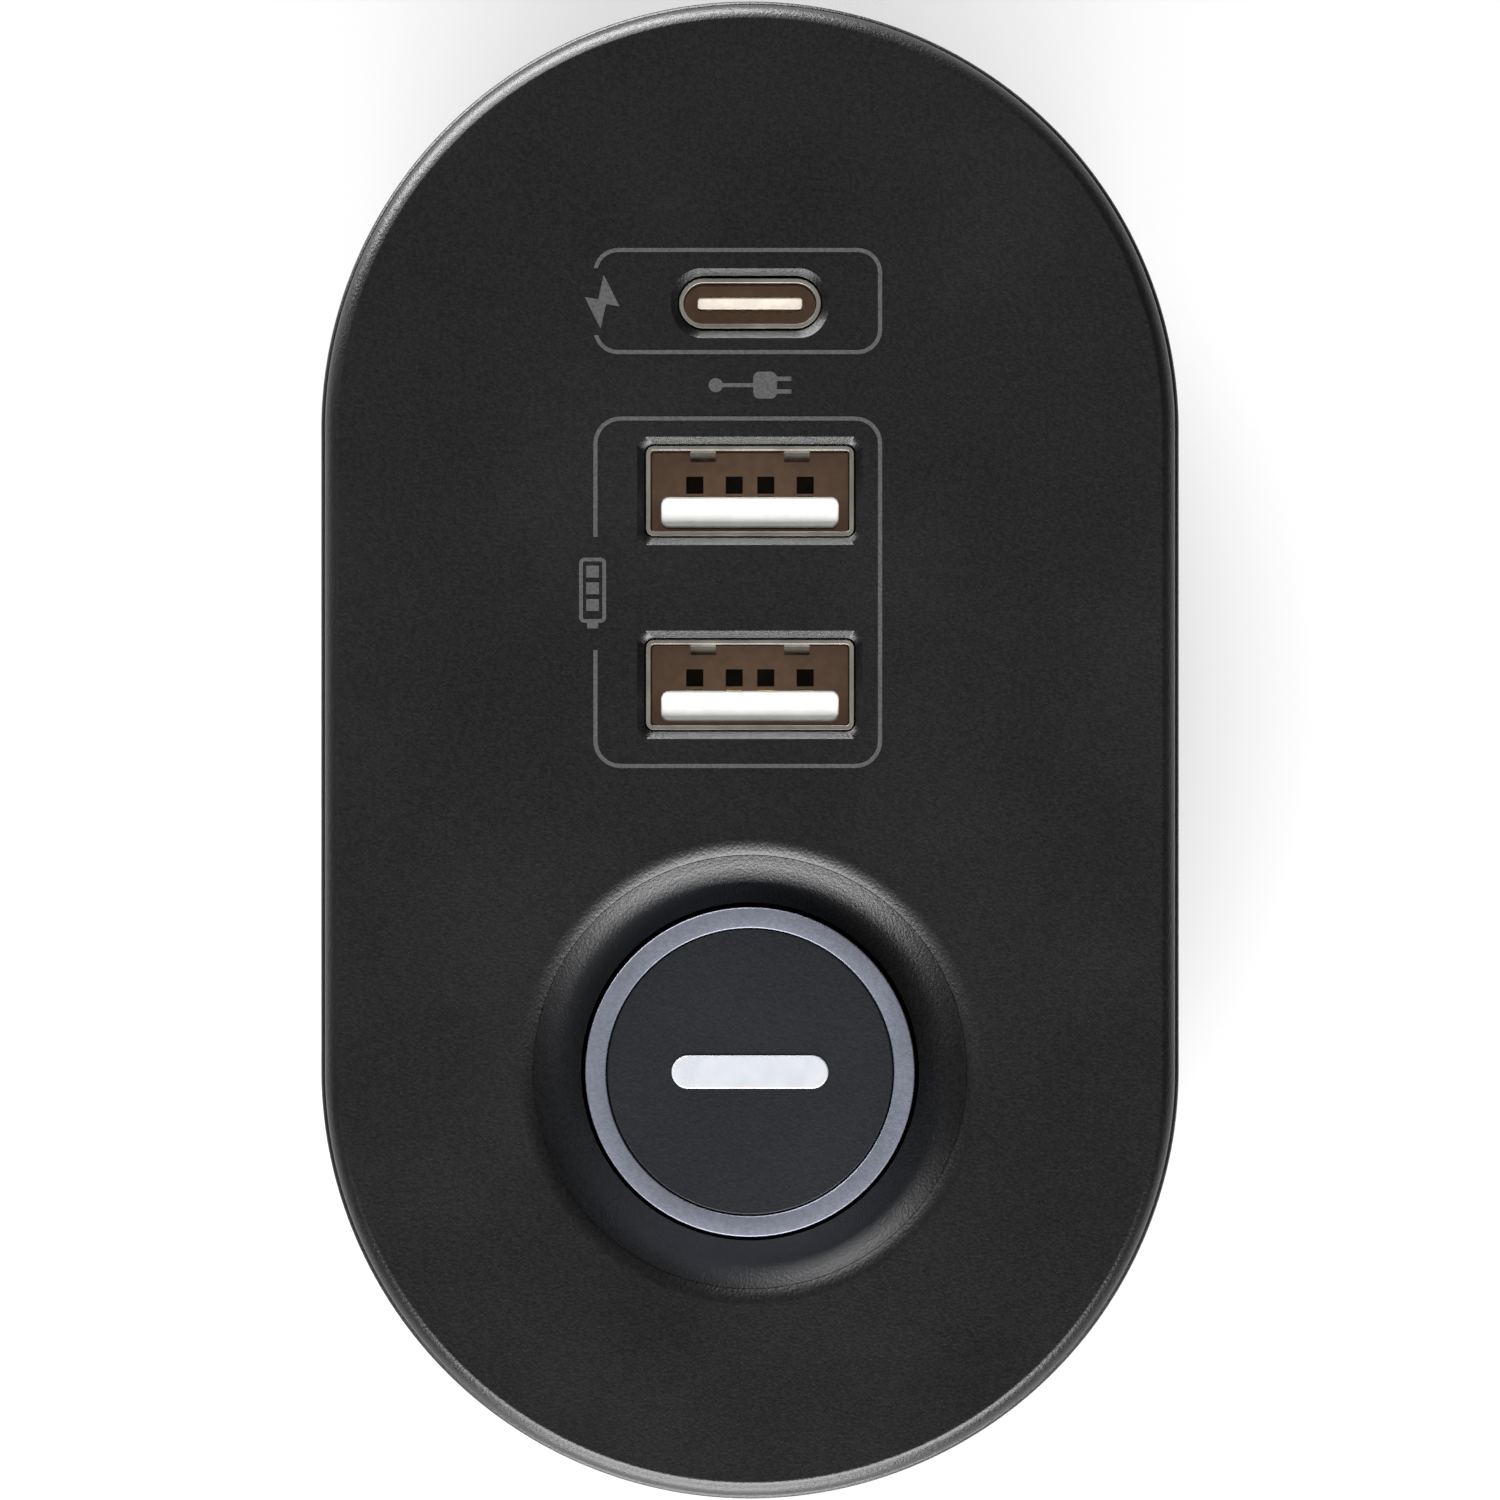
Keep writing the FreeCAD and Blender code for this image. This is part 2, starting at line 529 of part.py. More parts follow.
def make_feet():
    feet = []
    for a, b in CORNERS:
        foot = doc.addObject("Part::Fillet", "foot")
        pad = round_solid(f"{a}*foot_x", f"{b}*{FOOT_Y}", 0, "foot_radius", "foot_height + foot_seat")
        doc.recompute()
        foot.Base = pad
        lowest = [i for i, edge in enumerate(pad.Shape.Edges, 1) if edge.BoundBox.ZMax < 1e-4]
        size = number("foot_round")
        foot.Edges = [(i, size, size) for i in lowest]
        feet.append(foot)
    return group("rubber_feet", feet)


def screw(x, y, z, shank, head, head_height, length):
    """A pan-head screw that points up; z is the seat under its head."""
    stem = round_solid(x, y, z, shank, length)
    cap = round_solid(x, y, f"({z}) - ({head_height})", head, head_height)
    whole = doc.addObject("Part::Fuse", "screw")
    whole.Base, whole.Tool = stem, cap
    return whole


def make_tie_screws():
    seat = "foot_height + counterbore"
    length = f"face_height - cover_plate - tie_bite_short - ({seat})"
    return group("tie_screws", [
        screw(x, y, seat, "tie_radius", "tie_head", "tie_head_height", length)
        for x, y in tie_places()])


def make_base_weight():
    body = new_body("base_weight")
    add(body, SLEEVE_BOTTOM, f"{SLEEVE_BOTTOM} + weight_thickness",
        lambda s: rounded(
            s, 0, 0, "weight_length", "body_width - weight_margin", "weight_corner"))
    return body


# ---- outlets -------------------------------------------------------------------------------

def blade_slots(sketch, margin):
    rectangle(sketch, f"-{BLADE_X}", "blade_rise", f"slot_width + 2*{margin}",
              f"line_slot + 2*{margin}")
    rectangle(sketch, BLADE_X, "blade_rise", f"slot_width + 2*{margin}",
              f"neutral_slot + 2*{margin}")


def make_outlet_face(index, side, height):
    body = new_body(f"outlet_face_{index}")
    add(body, "-wall", "-insert_recess", lambda s: rounded(
        s, 0, 0, "opening_width - 2*insert_gap", "opening_height - 2*insert_gap",
        "opening_corner - insert_gap"))
    add(body, f"-({FLANGE_BACK})", "-wall", lambda s: rounded(
        s, 0, 0, "opening_width + 2*flange_margin", "opening_height + 2*flange_margin",
        "opening_corner"))
    back = f"-({FLANGE_BACK})"
    cut(body, back, "-insert_recess", lambda s: blade_slots(s, 0))
    cut(body, back, "-insert_recess", lambda s: circle(s, 0, GROUND_Y, "ground_radius"))
    return seat_on_flat(body, side, 0, height)


def make_shutter(index, side, height):
    """A sliding plate whose two windows stand beside the blade slots until it is pushed across."""
    body = new_body(f"shutter_{index}")
    front = f"-({FLANGE_BACK} + shutter_gap)"
    back = f"{front} - shutter_thickness"
    add(body, back, front,
        lambda s: rectangle(s, 0, "blade_rise", "shutter_length", "shutter_height"))
    for sign in (-1, 1):
        cut(body, back, front, lambda s: rectangle(
            s, f"{sign}*{BLADE_X} - shutter_travel", "blade_rise", "slot_width + window_gap",
            "neutral_slot"))
    return seat_on_flat(body, side, 0, height)


def make_shutter_spring(index, side, height):
    """The coil at the shutter's end, along x."""
    spring = coil("spring_radius", "spring_wire", "spring_pitch",
                  "spring_room + shutter_gap - spring_wire")
    keep(spring, f"shutter_spring_{index}")
    sign = 1 if side == "front" else -1
    depth = f"({FLANGE_BACK} + {SHUTTER_ROOM}/2)"
    spring.Placement = Placement(Vector(), TOWARDS_PLUS_X if sign > 0 else TOWARDS_MINUS_X)
    bind(spring, "Placement.Base.x", f"{sign}*(shutter_length/2 + spring_wire/2)")
    bind(spring, "Placement.Base.y", f"{-sign}*(body_width/2 - {depth})")
    bind(spring, "Placement.Base.z", f"{height} + blade_rise")
    return spring


def coil(radius, wire, pitch, length):
    """A wire wound about z, starting at the origin's height."""
    line = doc.addObject("Part::Helix", "winding")
    bind(line, "Radius", radius)
    bind(line, "Pitch", pitch)
    bind(line, "Height", length)
    section = doc.addObject("Part::Circle", "section")
    bind(section, "Radius", f"({wire})/2")
    section.Placement = Placement(Vector(), Rotation(Vector(1, 0, 0), 90))
    bind(section, "Placement.Base.x", radius)
    sweep = doc.addObject("Part::Sweep", "coil")
    sweep.Sections = [section]
    sweep.Spine = (line, [])
    sweep.Solid = True
    sweep.Frenet = True
    return sweep


def make_carrier(side, heights):
    """The insulating block behind one row of outlets, with a channel for each bus bar."""
    body = new_body(f"contact_carrier_{side}")
    margin = "(opening_height/2 + flange_margin)"
    middle, tall = f"({heights[0]} + {heights[-1]})/2", f"{heights[0]} - ({heights[-1]}) + 2*{margin}"
    back, face = f"-({CARRIER_BACK})", f"-({FLANGE_BACK})"
    wall_front = f"-({FLANGE_BACK} + {SHUTTER_ROOM})"
    channels = f"-({CONTACT_FRONT})"
    add(body, back, face, lambda s: rectangle(s, 0, middle, CARRIER_WIDTH, tall))
    for height in heights:
        chamber = "shutter_length + 2*shutter_gap + spring_room"
        rise = f"({height} + blade_rise)"
        cut(body, wall_front, face, lambda s: rectangle(
            s, "spring_room/2", rise, chamber, "shutter_height + 2*shutter_gap"))

        def windows(sketch):
            for sign in (-1, 1):
                rectangle(sketch, f"{sign}*{BLADE_X}", rise, "slot_width + 2*window_margin",
                          "neutral_slot + 2*window_margin")
        cut(body, channels, wall_front, windows)
        cut(body, channels, face,
            lambda s: circle(s, 0, f"{height} + {GROUND_Y}", "ground_radius + fit"))
    for x, width in ((f"-{BLADE_X}", "channel_width"), (0, "ground_channel"),
                     (BLADE_X, "channel_width")):
        cut(body, back, channels, lambda s: rectangle(s, x, middle, width, f"{tall} - 2*carrier_wall"))
    return seat_on_flat(body, side, 0, 0)


def leaf_profile(sketch, x, sign, root, pinch):
    """One bent contact leaf in section: it leans in to pinch the blade and flares at its mouth."""
    base = f"-({BUS_UNDER} - strip_thickness)"
    points = [(f"({root})", base), (f"({pinch})", f"{base} + leaf_length - leaf_mouth"),
              (f"({pinch}) + leaf_flare", f"{base} + leaf_length")]
    inner = [(f"({x}) + {sign}*({a})", b) for a, b in points]
    outer = [(f"({x}) + {sign}*({a} + leaf_gauge)", b) for a, b in reversed(points)]
    polygon(sketch, inner + outer)


def make_bus(name, side, heights, x, rise, root, pinch, leaf_height, strip):
    """A bus bar with a pair of spring leaves behind each outlet."""
    body = new_body(f"{name}_bus_{side}")
    low = f"{heights[-1]} + ({rise}) - bus_overrun"
    high = f"{heights[0]} + ({rise}) + bus_overrun"
    under = f"-{BUS_UNDER}"
    add(body, under, f"{under} + strip_thickness", lambda s: rectangle(
        s, x, f"({low} + {high})/2", strip, f"{high} - ({low})"))
    for height in heights:
        for sign in (-1, 1):
            add_across(body, f"{height} + ({rise})", leaf_height,
                       lambda s: leaf_profile(s, x, sign, root, pinch))
    return seat_on_flat(body, side, 0, 0)


def make_buses(side, heights):
    blade_strip, ground_strip = "channel_width", "ground_channel"
    make_bus("line", side, heights, f"-{BLADE_X}", "blade_rise", "leaf_root", "leaf_pinch",
             "leaf_height", blade_strip)
    make_bus("neutral", side, heights, BLADE_X, "blade_rise", "leaf_root", "leaf_pinch",
             "leaf_height", blade_strip)
    make_bus("ground", side, heights, "0", GROUND_Y, "ground_root", "ground_pinch",
             "ground_leaf_height", ground_strip)


# ---- power button and switch ---------------------------------------------------------------

def make_button_ring():
    body = new_body("button_ring")

    def tube(sketch):
        circle(sketch, "button_x", 0, "ring_radius")
        circle(sketch, "button_x", 0, "ring_radius - ring_wall")
    add(body, "face_height - cap_depth", "face_height + ring_rise", tube)
    dress(body, "Fillet", "ring_wall/5", flat_at("face_height + ring_rise"))
    return body


def make_button_cap():
    body = new_body("button_cap")
    bottom = "face_height - cap_depth"
    add(body, bottom, "face_height + cap_rise", lambda s: circle(s, "button_x", 0, CAP_RADIUS))
    add(body, f"{bottom} - cap_flange", bottom,
        lambda s: circle(s, "button_x", 0, "ring_radius - bore_fit"))
    cut(body, f"{bottom} - cap_flange", "face_height + cap_rise - cap_top_wall",
        lambda s: circle(s, "button_x", 0, f"{CAP_RADIUS} - cap_side_wall"))
    add(body, f"{SWITCH_TOP} + plunger_top", "face_height + cap_rise - cap_top_wall",
        lambda s: circle(s, "button_x", 0, "stem_radius"))
    cut(body, "face_height - bar_depth", "face_height + cap_rise", lambda s: upright_stadium(
        s, "button_x", 0, "bar_length + 2*bar_fit", "bar_width + 2*bar_fit"))
    return body


def make_button_bar():
    body = new_body("button_bar")
    add(body, "face_height - bar_depth", "face_height + ring_rise",
        lambda s: upright_stadium(s, "button_x", 0, "bar_length", "bar_width"))
    return body


def make_switch():
    body = new_body("switch_body")
    bottom = f"{SWITCH_TOP} - switch_height"
    add(body, bottom, SWITCH_TOP,
        lambda s: rounded(s, "button_x", 0, "switch_length", "switch_width", "switch_corner"))
    add(body, f"{SWITCH_TOP} - ear_thickness", SWITCH_TOP,
        lambda s: rectangle(s, "button_x", 0, "ear_width", "ear_span"))
    cut(body, f"{SWITCH_TOP} - plunger_depth - button_travel - plunger_spare", SWITCH_TOP,
        lambda s: circle(s, "button_x", 0, "plunger_radius + plunger_fit"))
    for x, y in EAR_POSTS:
        cut(body, f"{SWITCH_TOP} - ear_thickness", SWITCH_TOP,
            lambda s: circle(s, x, y, "screw_radius + fit"))
    plunger = round_solid("button_x", 0, f"{SWITCH_TOP} - plunger_depth", "plunger_radius",
                          "plunger_depth + plunger_top")
    keep(plunger, "switch_plunger")
    spring = coil("return_radius", "return_wire", "return_pitch",
                  "switch_drop + cap_rise - cap_top_wall - return_wire")
    bind(spring, "Placement.Base.x", "button_x")
    bind(spring, "Placement.Base.z", f"{SWITCH_TOP} + return_wire/2")
    keep(spring, "button_spring")
    tabs = [box_solid(f"button_x + {a}*tab_pitch/2", f"{b}*tab_y", f"{bottom} - tab_length",
                      "tab_thickness", "tab_width", "tab_length") for a, b in CORNERS]
    group("switch_terminals", tabs)


def make_cover_screws():
    """Small screws, all alike: two hold the switch and four the USB board."""
    screws = [screw(x, y, f"{SWITCH_TOP} - ear_thickness", "screw_radius", "screw_head",
                    "head_height", "ear_thickness + screw_bite") for x, y in EAR_POSTS]
    screws += [screw(x, y, f"{USB_BOARD_TOP} - board_thickness", "screw_radius", "screw_head",
                     "head_height", "board_thickness + screw_bite") for x, y in BOARD_POSTS]
    return group("cover_screws", screws)


# ---- USB ports -----------------------------------------------------------------------------

def make_usb_board():
    body = new_body("usb_board")
    add(body, f"{USB_BOARD_TOP} - board_thickness", USB_BOARD_TOP, lambda s: rounded(
        s, "usb_board_x", 0, "usb_board_length", "usb_board_width", "usb_board_corner"))
    for x, y in BOARD_POSTS:
        cut(body, f"{USB_BOARD_TOP} - board_thickness", USB_BOARD_TOP,
            lambda s: circle(s, x, y, "screw_radius + fit"))
    return body


def make_usb_c():
    top = "face_height - port_drop"
    inner_length, inner_width = "c_length - 2*shell_wall", "c_width - 2*shell_wall"
    shell = new_body("usb_c_shell")

    def tube(sketch):
        upright_stadium(sketch, "port_c_x", 0, "c_length", "c_width")
        upright_stadium(sketch, "port_c_x", 0, inner_length, inner_width)
    add(shell, USB_BOARD_TOP, top, tube)
    tongue = new_body("usb_c_tongue")
    seat = f"{USB_BOARD_TOP} + insulator_base"
    add(tongue, USB_BOARD_TOP, seat, lambda s: upright_stadium(
        s, "port_c_x", 0, f"{inner_length} - 2*bore_fit", f"{inner_width} - 2*bore_fit"))
    add(tongue, seat, f"{top} - c_tongue_drop",
        lambda s: rectangle(s, "port_c_x", 0, "c_tongue", "c_tongue_length"))
    strips = []
    for sign in (-1, 1):
        for step in range(8):
            strips.append(box_solid(
                f"port_c_x + {sign}*(c_tongue + contact_gap)/2",
                f"({step} - 7/2)*c_contact_pitch", seat, "contact_gap", "c_contact_width",
                f"{top} - c_tongue_drop - c_contact_drop - ({seat})"))
    group("usb_c_contacts", strips)


def make_usb_a(index, x):
    """One receptacle: shell with two spring fingers, insulator with its tongue, four contacts."""
    top, seat = "face_height - port_drop", f"{USB_BOARD_TOP} + insulator_base"
    shell = new_body(f"usb_a_shell_{index}")

    def tube(sketch):
        rounded(sketch, x, 0, "a_width", "a_length", "a_corner")
        rounded(sketch, x, 0, "a_width - 2*shell_wall", "a_length - 2*shell_wall",
                "a_corner - shell_wall")
    add(shell, USB_BOARD_TOP, top, tube)
    wall_x = f"({x} - a_width/2)"
    for sign in (-1, 1):
        add_across(shell, f"{sign}*finger_y", "finger_width",
                   lambda s: finger_profile(s, wall_x, top))
    insulator = new_body(f"usb_a_insulator_{index}")
    add(insulator, USB_BOARD_TOP, seat, lambda s: rounded(
        s, x, 0, "a_width - 2*shell_wall - 2*bore_fit", "a_length - 2*shell_wall - 2*bore_fit",
        "a_corner - shell_wall"))
    add(insulator, seat, f"{top} - a_tongue_drop",
        lambda s: rectangle(s, f"{x} + a_tongue_shift", 0, "a_tongue", "a_tongue_length"))
    face = f"({x} + a_tongue_shift - a_tongue/2)"
    strips = [box_solid(f"{face} - a_contact_gauge/2", y, seat, "a_contact_gauge",
                        "a_contact_width", f"{top} - a_tongue_drop - a_contact_drop - ({seat})")
              for y in ("-a_contact_outer", "-a_contact_inner", "a_contact_inner",
                        "a_contact_outer")]
    group(f"usb_a_contacts_{index}", strips)


def finger_profile(sketch, wall_x, top):
    """A spring finger in section: rooted in the shell near the mouth, bent into the port."""
    skin, bend = f"{wall_x} + shell_wall/2", f"{wall_x} + shell_wall + finger_bend"
    high = f"{top} - finger_drop"
    low, middle = f"{high} - finger_length", f"{high} - finger_middle"
    polygon(sketch, [(skin, high), (f"{wall_x} + shell_wall", high), (bend, middle),
                     (f"{bend} - finger_tip", low), (f"{bend} - 2*finger_tip", low),
                     (f"{bend} - finger_gauge", middle), (skin, f"{high} - finger_root")])


# ---- charger, surge board, inlet and breaker -----------------------------------------------

def make_charger():
    """The upright charger board in the -X lobe; its parts stand out towards -X."""
    face = f"({RAIL_X} + board_thickness/2)"
    keep(box_solid(f"-{RAIL_X}", 0, "board_bottom", "board_thickness", SIDE_BOARD_WIDTH,
                   CHARGER_HEIGHT), "charger_board")
    core = box_solid(f"-{face} - core_depth/2", 0, "board_bottom + core_rise", "core_depth",
                     "core_width", "core_height")
    winding = box_solid(f"-{face} - core_depth/2", 0, "board_bottom + winding_rise",
                        "winding_depth", "winding_width", "winding_height")
    join("transformer", [core, winding])
    keep(round_solid(f"-{face}", "bulk_y", "board_bottom + bulk_rise", "bulk_radius",
                     "bulk_length", TOWARDS_MINUS_X), "bulk_capacitor")
    choke = doc.addObject("Part::Torus", "choke")
    bind(choke, "Radius1", "choke_radius")
    bind(choke, "Radius2", "choke_wire")
    choke.Placement = Placement(Vector(), TOWARDS_MINUS_X)
    bind(choke, "Placement.Base.x", f"-{face} - choke_wire")
    bind(choke, "Placement.Base.y", "-choke_y")
    bind(choke, "Placement.Base.z", "board_bottom + choke_rise")
    keep(choke, "emi_choke")
    plates = [box_solid(f"-{face} - sink_base/2", 0, "board_bottom + sink_rise", "sink_base",
                        "sink_width", "sink_height")]
    plates += [box_solid(f"-{face} - sink_base/2 - fin_depth/2", f"{step}*fin_pitch",
                         "board_bottom + sink_rise", "fin_depth", "fin_thickness",
                         "sink_height") for step in range(-2, 3)]
    join("heat_sink", plates)
    group("output_capacitors", [
        round_solid(f"-{face}", f"{step}*output_pitch", "board_bottom + output_rise",
                    "output_radius", "output_length", TOWARDS_MINUS_X) for step in (-1, 0, 1)])


def make_surge_board():
    """Board in the +X lobe with three disc varistors lying against it."""
    face = f"({RAIL_X} + board_thickness/2)"
    keep(box_solid(RAIL_X, 0, "board_bottom", "board_thickness", SIDE_BOARD_WIDTH,
                   "surge_height"), "surge_board")
    group("varistors", [
        round_solid(face, 0, f"board_bottom + varistor_rise + {step}*varistor_pitch",
                    "varistor_radius", "varistor_length", TOWARDS_PLUS_X) for step in range(3)])


def make_inlet():
    body = new_body("inlet_body")
    front, back = "-bezel_recess", "-(bezel_recess + inlet_depth + inlet_back)"
    gap = "2*insert_gap"
    add(body, "-wall", front, lambda s: rounded(
        s, 0, 0, f"inlet_opening - {gap}", f"inlet_opening_height - {gap}",
        "inlet_corner - insert_gap"))
    add(body, f"-({FLANGE_BACK})", "-wall", lambda s: rounded(
        s, 0, 0, "inlet_opening + 2*inlet_flange", "inlet_opening_height + 2*inlet_flange", "inlet_corner"))
    add(body, back, f"-({FLANGE_BACK})", lambda s: rectangle(
        s, 0, 0, "inlet_cavity + 2*inlet_wall", "inlet_cavity_height + 2*inlet_wall"))
    cut(body, "-(bezel_recess + inlet_depth)", front, lambda s: rounded(
        s, 0, 0, "inlet_cavity", "inlet_cavity_height", "cavity_corner"))
    places = [("pin_shift", "pin_spacing/2"), ("pin_shift", "-pin_spacing/2"), ("-pin_shift", "0")]
    for x, y in places:
        cut(body, back, front, lambda s: rectangle(
            s, x, y, "pin_width + 2*pin_fit", "pin_thickness + 2*pin_fit"))
    seat_on_flat(body, "rear", "inlet_x", "inlet_height")
    length = "inlet_depth - pin_setback + inlet_back + pin_tail"
    pins = [box_solid(x, y, f"{back} - pin_tail", "pin_width", "pin_thickness", length)
            for x, y in places]
    seat_on_flat(group("inlet_pins", pins), "rear", "inlet_x", "inlet_height")


def make_breaker():
    body = new_body("breaker_body")
    front = "-bezel_recess"
    add(body, "-wall", front, lambda s: circle(s, 0, 0, "bezel_radius"))
    add(body, "-(wall + breaker_depth)", "-wall",
        lambda s: rectangle(s, 0, 0, "breaker_width", "breaker_height"))
    cut(body, "-(reset_recess + reset_length + reset_travel + reset_spare)", front,
        lambda s: circle(s, 0, 0, "reset_radius + reset_fit"))
    seat_on_flat(body, "rear", "breaker_x", "inlet_height")
    button = new_body("reset_button")
    add(button, "-(reset_recess + reset_length)", "-reset_recess",
        lambda s: circle(s, 0, 0, "reset_radius"))
    dress(button, "Fillet", "reset_round", flat_at("-reset_recess"))
    seat_on_flat(button, "rear", "breaker_x", "inlet_height")


def lead(points, radius):
    """A wire along straight runs joined by tangent arcs."""
    corners = [Vector(number(x), number(y), number(z)) for x, y, z in points]
    edges, start = [], corners[0]
    for before, corner, after in zip(corners, corners[1:], corners[2:]):
        into, out = (corner - before), (after - corner)
        turn = into.getAngle(out)
        reach = 0.45 * min(into.Length, out.Length)
        into.normalize()
        out.normalize()
        enter, leave = corner - into * reach, corner + out * reach
        bulge = reach * math.tan(turn / 4)
        inward = (out - into)
        inward.normalize()
        middle = corner + inward * (reach * math.sin(turn / 2) - bulge * math.cos(turn / 2))
        edges.append(Part.LineSegment(start, enter).toShape())
        edges.append(Part.Arc(enter, middle, leave).toShape())
        start = leave
    edges.append(Part.LineSegment(start, corners[-1]).toShape())
    path = Part.Wire(edges)
    way = corners[1] - corners[0]
    ring = Part.Wire(Part.Circle(corners[0], way, number(radius)).toShape())
    return path.makePipeShell([ring], True, True)


def make_leads():
    """Two charger wires up to the USB board and the switched line from the breaker."""
    board_end = f"board_bottom + {CHARGER_HEIGHT}"
    board_under = f"{USB_BOARD_TOP} - board_thickness"
    breaker_back = "body_width/2 - wall - breaker_depth"
    wires = [lead([(f"-{RAIL_X}", y, board_end), (f"-{RAIL_X}", y, board_under)], "charger_wire")
             for y in ("-charger_wire_y", "charger_wire_y")]
    foot = f"{SWITCH_TOP} - switch_height - tab_length"
    tab_x = "button_x - tab_pitch/2"
    rise = "inlet_height + line_wire_rise"
    wires.append(lead([("breaker_x", breaker_back, "inlet_height"),
                       ("breaker_x", f"{breaker_back} - line_wire_run", "inlet_height"),
                       (tab_x, "-tab_y", rise), (tab_x, "-tab_y", foot)], "line_wire"))
    node = doc.addObject("Part::Feature", "wires")
    node.Shape = Part.makeCompound(wires)
    return keep(node, "leads")


# ---- assembly and export -------------------------------------------------------------------

def check_and_write():
    doc.recompute()
    for thing in doc.Objects:
        if "Invalid" in thing.State or "Error" in thing.State:
            raise RuntimeError(f"{thing.Label} failed: {thing.State}")
    for part in PARTS:
        if part.Shape.isNull() or not part.Shape.isValid() or not part.Shape.Solids:
            raise RuntimeError(f"{part.Label} has no valid shape")
    os.makedirs("parts", exist_ok=True)
    for part in PARTS:
        part.Shape.exportStep(f"parts/{part.Label}.step")
        box = part.Shape.BoundBox
        print(f"{part.Label}: {len(part.Shape.Solids)} solid(s), {part.Shape.Volume:.1f} mm3, "
              f"z {box.ZMin:.2f} to {box.ZMax:.2f}")
    print(len(PARTS), "nodes")


make_top_cover()
make_sleeve()
make_base_cover()
make_feet()
make_tie_screws()
make_base_weight()
for index, (side, height) in enumerate(OUTLETS, 1):
    make_outlet_face(index, side, height)
    make_shutter(index, side, height)
    make_shutter_spring(index, side, height)
for side, heights in (("front", FRONT_OUTLETS), ("rear", REAR_OUTLETS)):
    make_carrier(side, heights)
    make_buses(side, heights)
make_button_ring()
make_button_cap()
make_button_bar()
make_switch()
make_cover_screws()
make_usb_board()
make_usb_c()
for index, x in enumerate(A_PORTS, 1):
    make_usb_a(index, x)
make_charger()
make_surge_board()
make_inlet()
make_breaker()
make_leads()
check_and_write()
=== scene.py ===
# %% [markdown]
# # A desk power strip: a pill-shaped tower with USB ports and a push button on top
#
# The design is already packed: every moving body, its size and its place come from the frame.
# Here each visible piece gets its true surface and its finish.  Everything is in metres, +Z is
# up, the USB ports lie towards -X and the push button towards +X.

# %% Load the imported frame
import json
import math

import bmesh
import bpy
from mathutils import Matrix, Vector


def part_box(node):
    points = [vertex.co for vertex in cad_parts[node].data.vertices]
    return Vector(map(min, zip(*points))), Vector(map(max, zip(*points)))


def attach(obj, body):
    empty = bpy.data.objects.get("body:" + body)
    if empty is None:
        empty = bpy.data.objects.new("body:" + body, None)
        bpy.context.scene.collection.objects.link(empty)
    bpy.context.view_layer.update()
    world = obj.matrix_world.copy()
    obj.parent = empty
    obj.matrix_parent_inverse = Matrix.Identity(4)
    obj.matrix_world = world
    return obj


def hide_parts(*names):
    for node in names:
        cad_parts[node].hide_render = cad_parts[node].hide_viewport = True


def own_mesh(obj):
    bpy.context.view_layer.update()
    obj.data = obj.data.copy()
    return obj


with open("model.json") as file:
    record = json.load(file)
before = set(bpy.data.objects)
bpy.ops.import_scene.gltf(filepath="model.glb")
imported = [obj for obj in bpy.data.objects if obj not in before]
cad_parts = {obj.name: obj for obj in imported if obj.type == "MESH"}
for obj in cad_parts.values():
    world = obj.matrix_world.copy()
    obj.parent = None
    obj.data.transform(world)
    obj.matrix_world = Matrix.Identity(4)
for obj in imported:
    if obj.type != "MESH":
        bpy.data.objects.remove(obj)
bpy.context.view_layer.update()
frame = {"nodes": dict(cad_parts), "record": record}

# %% [markdown]
# ## Measures taken from the frame
#
# A piece that replaces a part of the design has to sit exactly where that part sits, so the
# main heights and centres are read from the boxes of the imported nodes.  Only the small sizes
# that a box does not show, such as a chamfer, are named here.

# %% Heights, centres and half sizes
MM = 0.001


def middle(node):
    low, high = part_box(node)
    return (low + high) / 2


cover_low, cover_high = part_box("top_cover")
sleeve_low, sleeve_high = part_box("housing_sleeve")
base_low, base_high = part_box("base_cover")
ring_low, ring_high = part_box("button_ring")
cap_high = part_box("button_cap")[1]
bar_low, bar_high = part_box("button_bar")

FACE = cover_high.z
BUTTON = middle("button_ring")
RING_RADIUS = (ring_high.x - ring_low.x) / 2
PORT_C = middle("usb_c_shell")
PORTS_A = [middle(f"usb_a_shell_{i}") for i in (1, 2)]
PORT_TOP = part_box("usb_a_shell_1")[1].z
FLAT = sleeve_high.y
print("face at", round(FACE / MM, 2), "mm; button centre at x", round(BUTTON.x / MM, 2), "mm")

# %% [markdown]
# ## Camera, floor and light
#
# The strip is looked at straight from above with a long lens, so only its top face shows.  A
# soft box stands off each end and lights the sloping wall of the dish.  A card level with the
# face stands under each and draws the bright line along the rounded end.  A wide soft box
# overhead gives the even light.

# %% A camera that looks straight down
VIEW_HEIGHT = 94.34 * MM
CAMERA_DISTANCE = 1.2


def make_camera():
    lens = bpy.data.cameras.new("camera")
    lens.sensor_width = 36
    lens.lens = 36 * CAMERA_DISTANCE / VIEW_HEIGHT
    lens.clip_start, lens.clip_end = 0.01, 20
    camera = bpy.data.objects.new("camera", lens)
    camera.location = (0, 0, FACE + CAMERA_DISTANCE)
    camera.rotation_euler = (0, 0, math.pi / 2)
    bpy.context.collection.objects.link(camera)
    bpy.context.scene.camera = camera
    print("lens", round(lens.lens), "mm")


make_camera()

# %% Floor, soft boxes and surrounding light
FLOOR_SIZE, FLOOR_GREY, FLOOR_GLOW = 6, 0.34, 0.40
WORLD_LIGHT = 0.032
